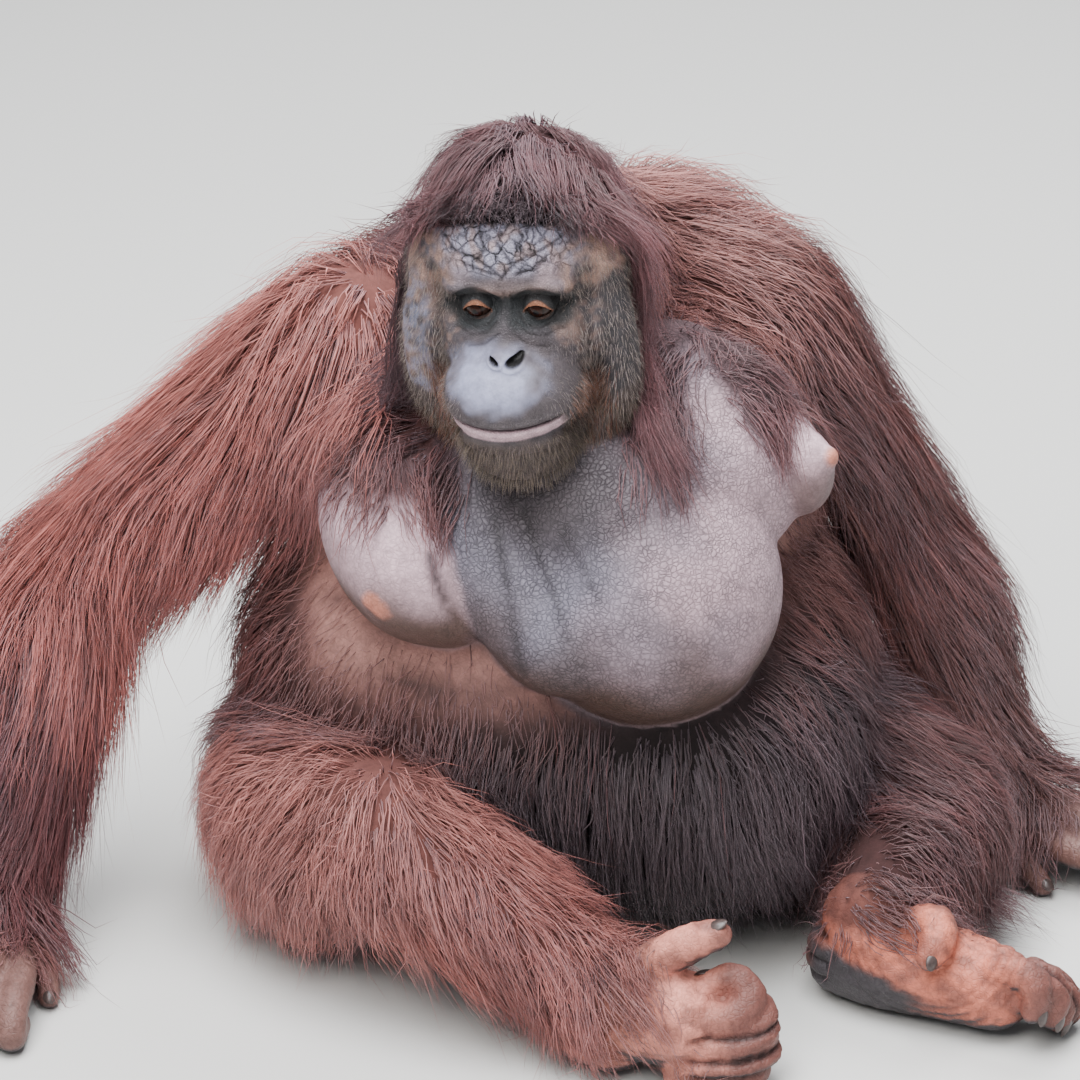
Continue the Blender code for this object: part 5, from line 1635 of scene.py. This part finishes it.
def grow(name, weight, number, rings, width_gain=1.0, wave=0.0030, clump=0.24, stray=0.14, whole=1.0):
    """Grows one piece of the coat over the triangles that weight picks; whole shortens it."""
    place, out, part, unwrap = draw_roots(number, weight * TRI_HAIR)
    guide = KEPT_GUIDES[nearest_of(place, GUIDE[KEPT_GUIDES, 0])]
    close = distance(GUIDE[guide, 0], place) < CLOSE_TO_GUIDE
    place, out, part, unwrap, guide = (v[close] for v in (place, out, part, unwrap, guide))
    number = len(place)
    t = np.linspace(0, STEPS * whole, rings + 1)
    low = np.minimum(t.astype(int), STEPS - 1)
    part_way = (t - low)[None, :, None]
    path = GUIDE[guide][:, low] * (1 - part_way) + GUIDE[guide][:, low + 1] * part_way
    shape = path - path[:, :1]
    long = dice.uniform(0.72, 1.10, number)[:, None, None]
    own = place[:, None, :] + shape * long
    share = (np.arange(rings + 1) / rings)[None, :, None]
    gather = clump * share**1.2 * dice.uniform(0.5, 1.1, number)[:, None, None]
    own = own + (path * long + path[:, :1] * (1 - long) - own) * gather
    drift = dice.normal(size=(number, 1, 3)) * share**1.5 * wave * 2.2
    ripple = dice.normal(size=(number, rings + 1, 3)) * share * wave * 0.8
    strays = (dice.random(number) < stray)[:, None, None]
    loose = strays * dice.normal(size=(number, 1, 3)) * share**2 * STRAY_REACH
    own = own + drift + ripple + loose
    own[:, 0] -= out * ROOT_SINK
    own[:, 1] += out * 0.0015
    bare_here = bare_front(place, out[:, 1]) * is_part(part, "torso")
    width = coat_value(part, 1) * dice.uniform(0.7, 1.25, number) * width_gain * (1 - 0.45 * bare_here)
    gain = 1 + RANDOM_GAIN * dice.normal(size=number).clip(-1.6, 1.9)[:, None]
    lock_gain = LOCK_TONE[guide][:, None]
    last = coat_colour(place, out, part) * gain * lock_gain
    last = last + (THIN_BELLY - last) * 0.7 * bare_here[:, None]
    # The roots are darker, as painted shade deep in the coat.
    first = last * ROOT_SHADE
    return tuft_object(name, own, out, width, rings, unwrap, first.clip(0, 1), last.clip(0, 1))


def of_parts(*names):
    return is_part(TRI_PART, *names).astype(float)


TRI_BACK = OUTS[TRI_POINTS[:, 0], 1] > 0.05
TRI_MIDDLE = POINTS[TRI_POINTS].mean(axis=1)
TRI_FORWARD = in_face(TRI_MIDDLE)[2]
TRI_UP = OUTS[TRI_POINTS[:, 0], 2]
ARMPIT = soft_step(0.11, 0.06, distance(TRI_MIDDLE, np.array([0.262, 0.03, 0.365])))
HEAD_FRONT = TRI_FORWARD > -0.12
coats = [
    grow("coat_crown", of_parts("head") * HEAD_FRONT, 7900, 4, wave=0.0022),
    grow("coat_head_back", of_parts("head") * ~HEAD_FRONT, 4600, 4, width_gain=1.1),
    grow("coat_nape", of_parts("neck", "throat_sac", "breast_right"), 4300, 3, width_gain=1.2),
    grow("coat_back", of_parts("torso") * TRI_BACK, 5200, 3, width_gain=1.5),
    grow("coat_belly", of_parts("torso") * ~TRI_BACK * (1 + 5 * ARMPIT), 9800, 3, width_gain=1.08),
    grow("coat_upper_arm_right", of_parts("upper_arm_right"), 8600, 4),
    grow("coat_forearm_right", of_parts("forearm_right", "hand_right"), 5500, 4, width_gain=1.1),
    grow("coat_arm_left", of_parts("upper_arm_left", "forearm_left", "hand_left") * (1 + 2 * ARMPIT),
         7500, 4, width_gain=1.1),
    grow("coat_leg_right", of_parts("thigh_right", "shin_right", "foot_right"), 9800, 3),
    grow("undercoat", (TRI_UP > -0.1) * (TRI_MIDDLE[:, 1] < 0.10), 9500, 2, width_gain=1.6, clump=0.0,
         wave=0.0040, stray=0.0, whole=0.30),
    grow("coat_leg_left", of_parts("thigh_left", "shin_left", "foot_left"), 6000, 3, width_gain=1.1),
]

# %% [markdown]
# Short bristles stand on the cheek ridges, the jaw, the chin and the lower edges of the muzzle:
# pale grey on the cheeks, olive on the chin and orange at the corners of the jaw.

# %% Bristles of the face
BRISTLE_DROOP = 0.7


def bristles(name, weight, number, length, width, tints):
    """Short straight tufts that lean out and down; tints are for the roots and the tips."""
    place, out, part, unwrap = draw_roots(number, weight)
    own_way = unit(out * 0.55 + DOWN * BRISTLE_DROOP + dice.normal(size=(number, 3)) * 0.22)
    long = (length * dice.uniform(0.5, 1.2, number))[:, None, None]
    t = (np.arange(3) / 2)[None, :, None]
    path = place[:, None, :] + own_way[:, None, :] * long * t + DOWN * long * 0.35 * t**2
    path[:, 0] -= out * 0.001
    gain = dice.uniform(0.6, 1.3, number)[:, None]
    return tuft_object(name, path, out, width * dice.uniform(0.7, 1.2, number), 2, unwrap,
                       tints[0] * gain, tints[1] * gain)


across, up, forward = in_face(TRI_MIDDLE)
on_face = is_part(TRI_PART, "head") & (forward > -0.075)
aside = abs(across)
# piece: where, how many, length, width, colour of the roots and of the tips
BRISTLES = {
    "cheeks": (on_face & (aside > 0.056) & (up < 0.040), 3600, 0.009, 0.00048, "#4a4143", "#b3a497"),
    "chin": (on_face & (up < -0.096) & (up < mouth_height(across) - 0.014),
             1900, 0.012, 0.00055, "#3c322d", "#82735f"),
    "jaw": ((on_face & (up < -0.060)) * soft_step(0.050, 0.060, aside) * soft_step(0.086, 0.070, aside),
            1100, 0.013, 0.00055, "#4a2f24", "#8f5a3c"),
    "muzzle": (on_face & (aside > 0.036) & (up < -0.030) & (up > -0.085) & (aside < 0.062),
               700, 0.006, 0.00042, "#5a5052", "#8f8580"),
    "face": (on_face & (aside > 0.045) & (aside < 0.066) & (up < 0.050) & (up > -0.10),
             1500, 0.005, 0.00040, "#4a4244", "#9a8b80"),
}
for name, (area, number, length, width, root, tip) in BRISTLES.items():
    coats.append(bristles("bristles_" + name, area, number, length, width, (linear(root), linear(tip))))

# %% [markdown]
# Great ape hair is coarse, dry keratin. It has a soft broad shine along the lock, and it lets
# a little light through at its edge, which a weak sheen stands for.

# %% Hair
keratin, tree, shader = new_material("coarse_red_brown_hair")
place = node(tree, "ShaderNodeTexCoord").outputs["Object"]
mottle = node(tree, "ShaderNodeTexNoise", [("Scale", 55.0), ("Detail", 3.0)], [("Vector", place)])
gain = node(tree, "ShaderNodeMapRange",
            [("From Min", 0.3), ("From Max", 0.7), ("To Min", 0.78), ("To Max", 1.22)],
            [("Value", mottle.outputs["Fac"])])
tinted = node(tree, "ShaderNodeVectorMath", [("operation", "SCALE")],
              [(0, mask_named(tree, "tint").outputs["Color"]), ("Scale", gain.outputs[0])])
tree.links.new(tinted.outputs[0], shader.inputs["Base Color"])
shader.inputs["Roughness"].default_value = 0.52
shader.inputs["Specular IOR Level"].default_value = 0.45
shader.inputs["Sheen Weight"].default_value = 0.28
shader.inputs["Sheen Roughness"].default_value = 0.45
shader.inputs["Sheen Tint"].default_value = (*linear("#e6d0de"), 1)
for coat in coats:
    coat.data.materials.append(keratin)

# %% The end
low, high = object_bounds()
print("visual model from", [round(v, 3) for v in low], "to", [round(v, 3) for v in high])
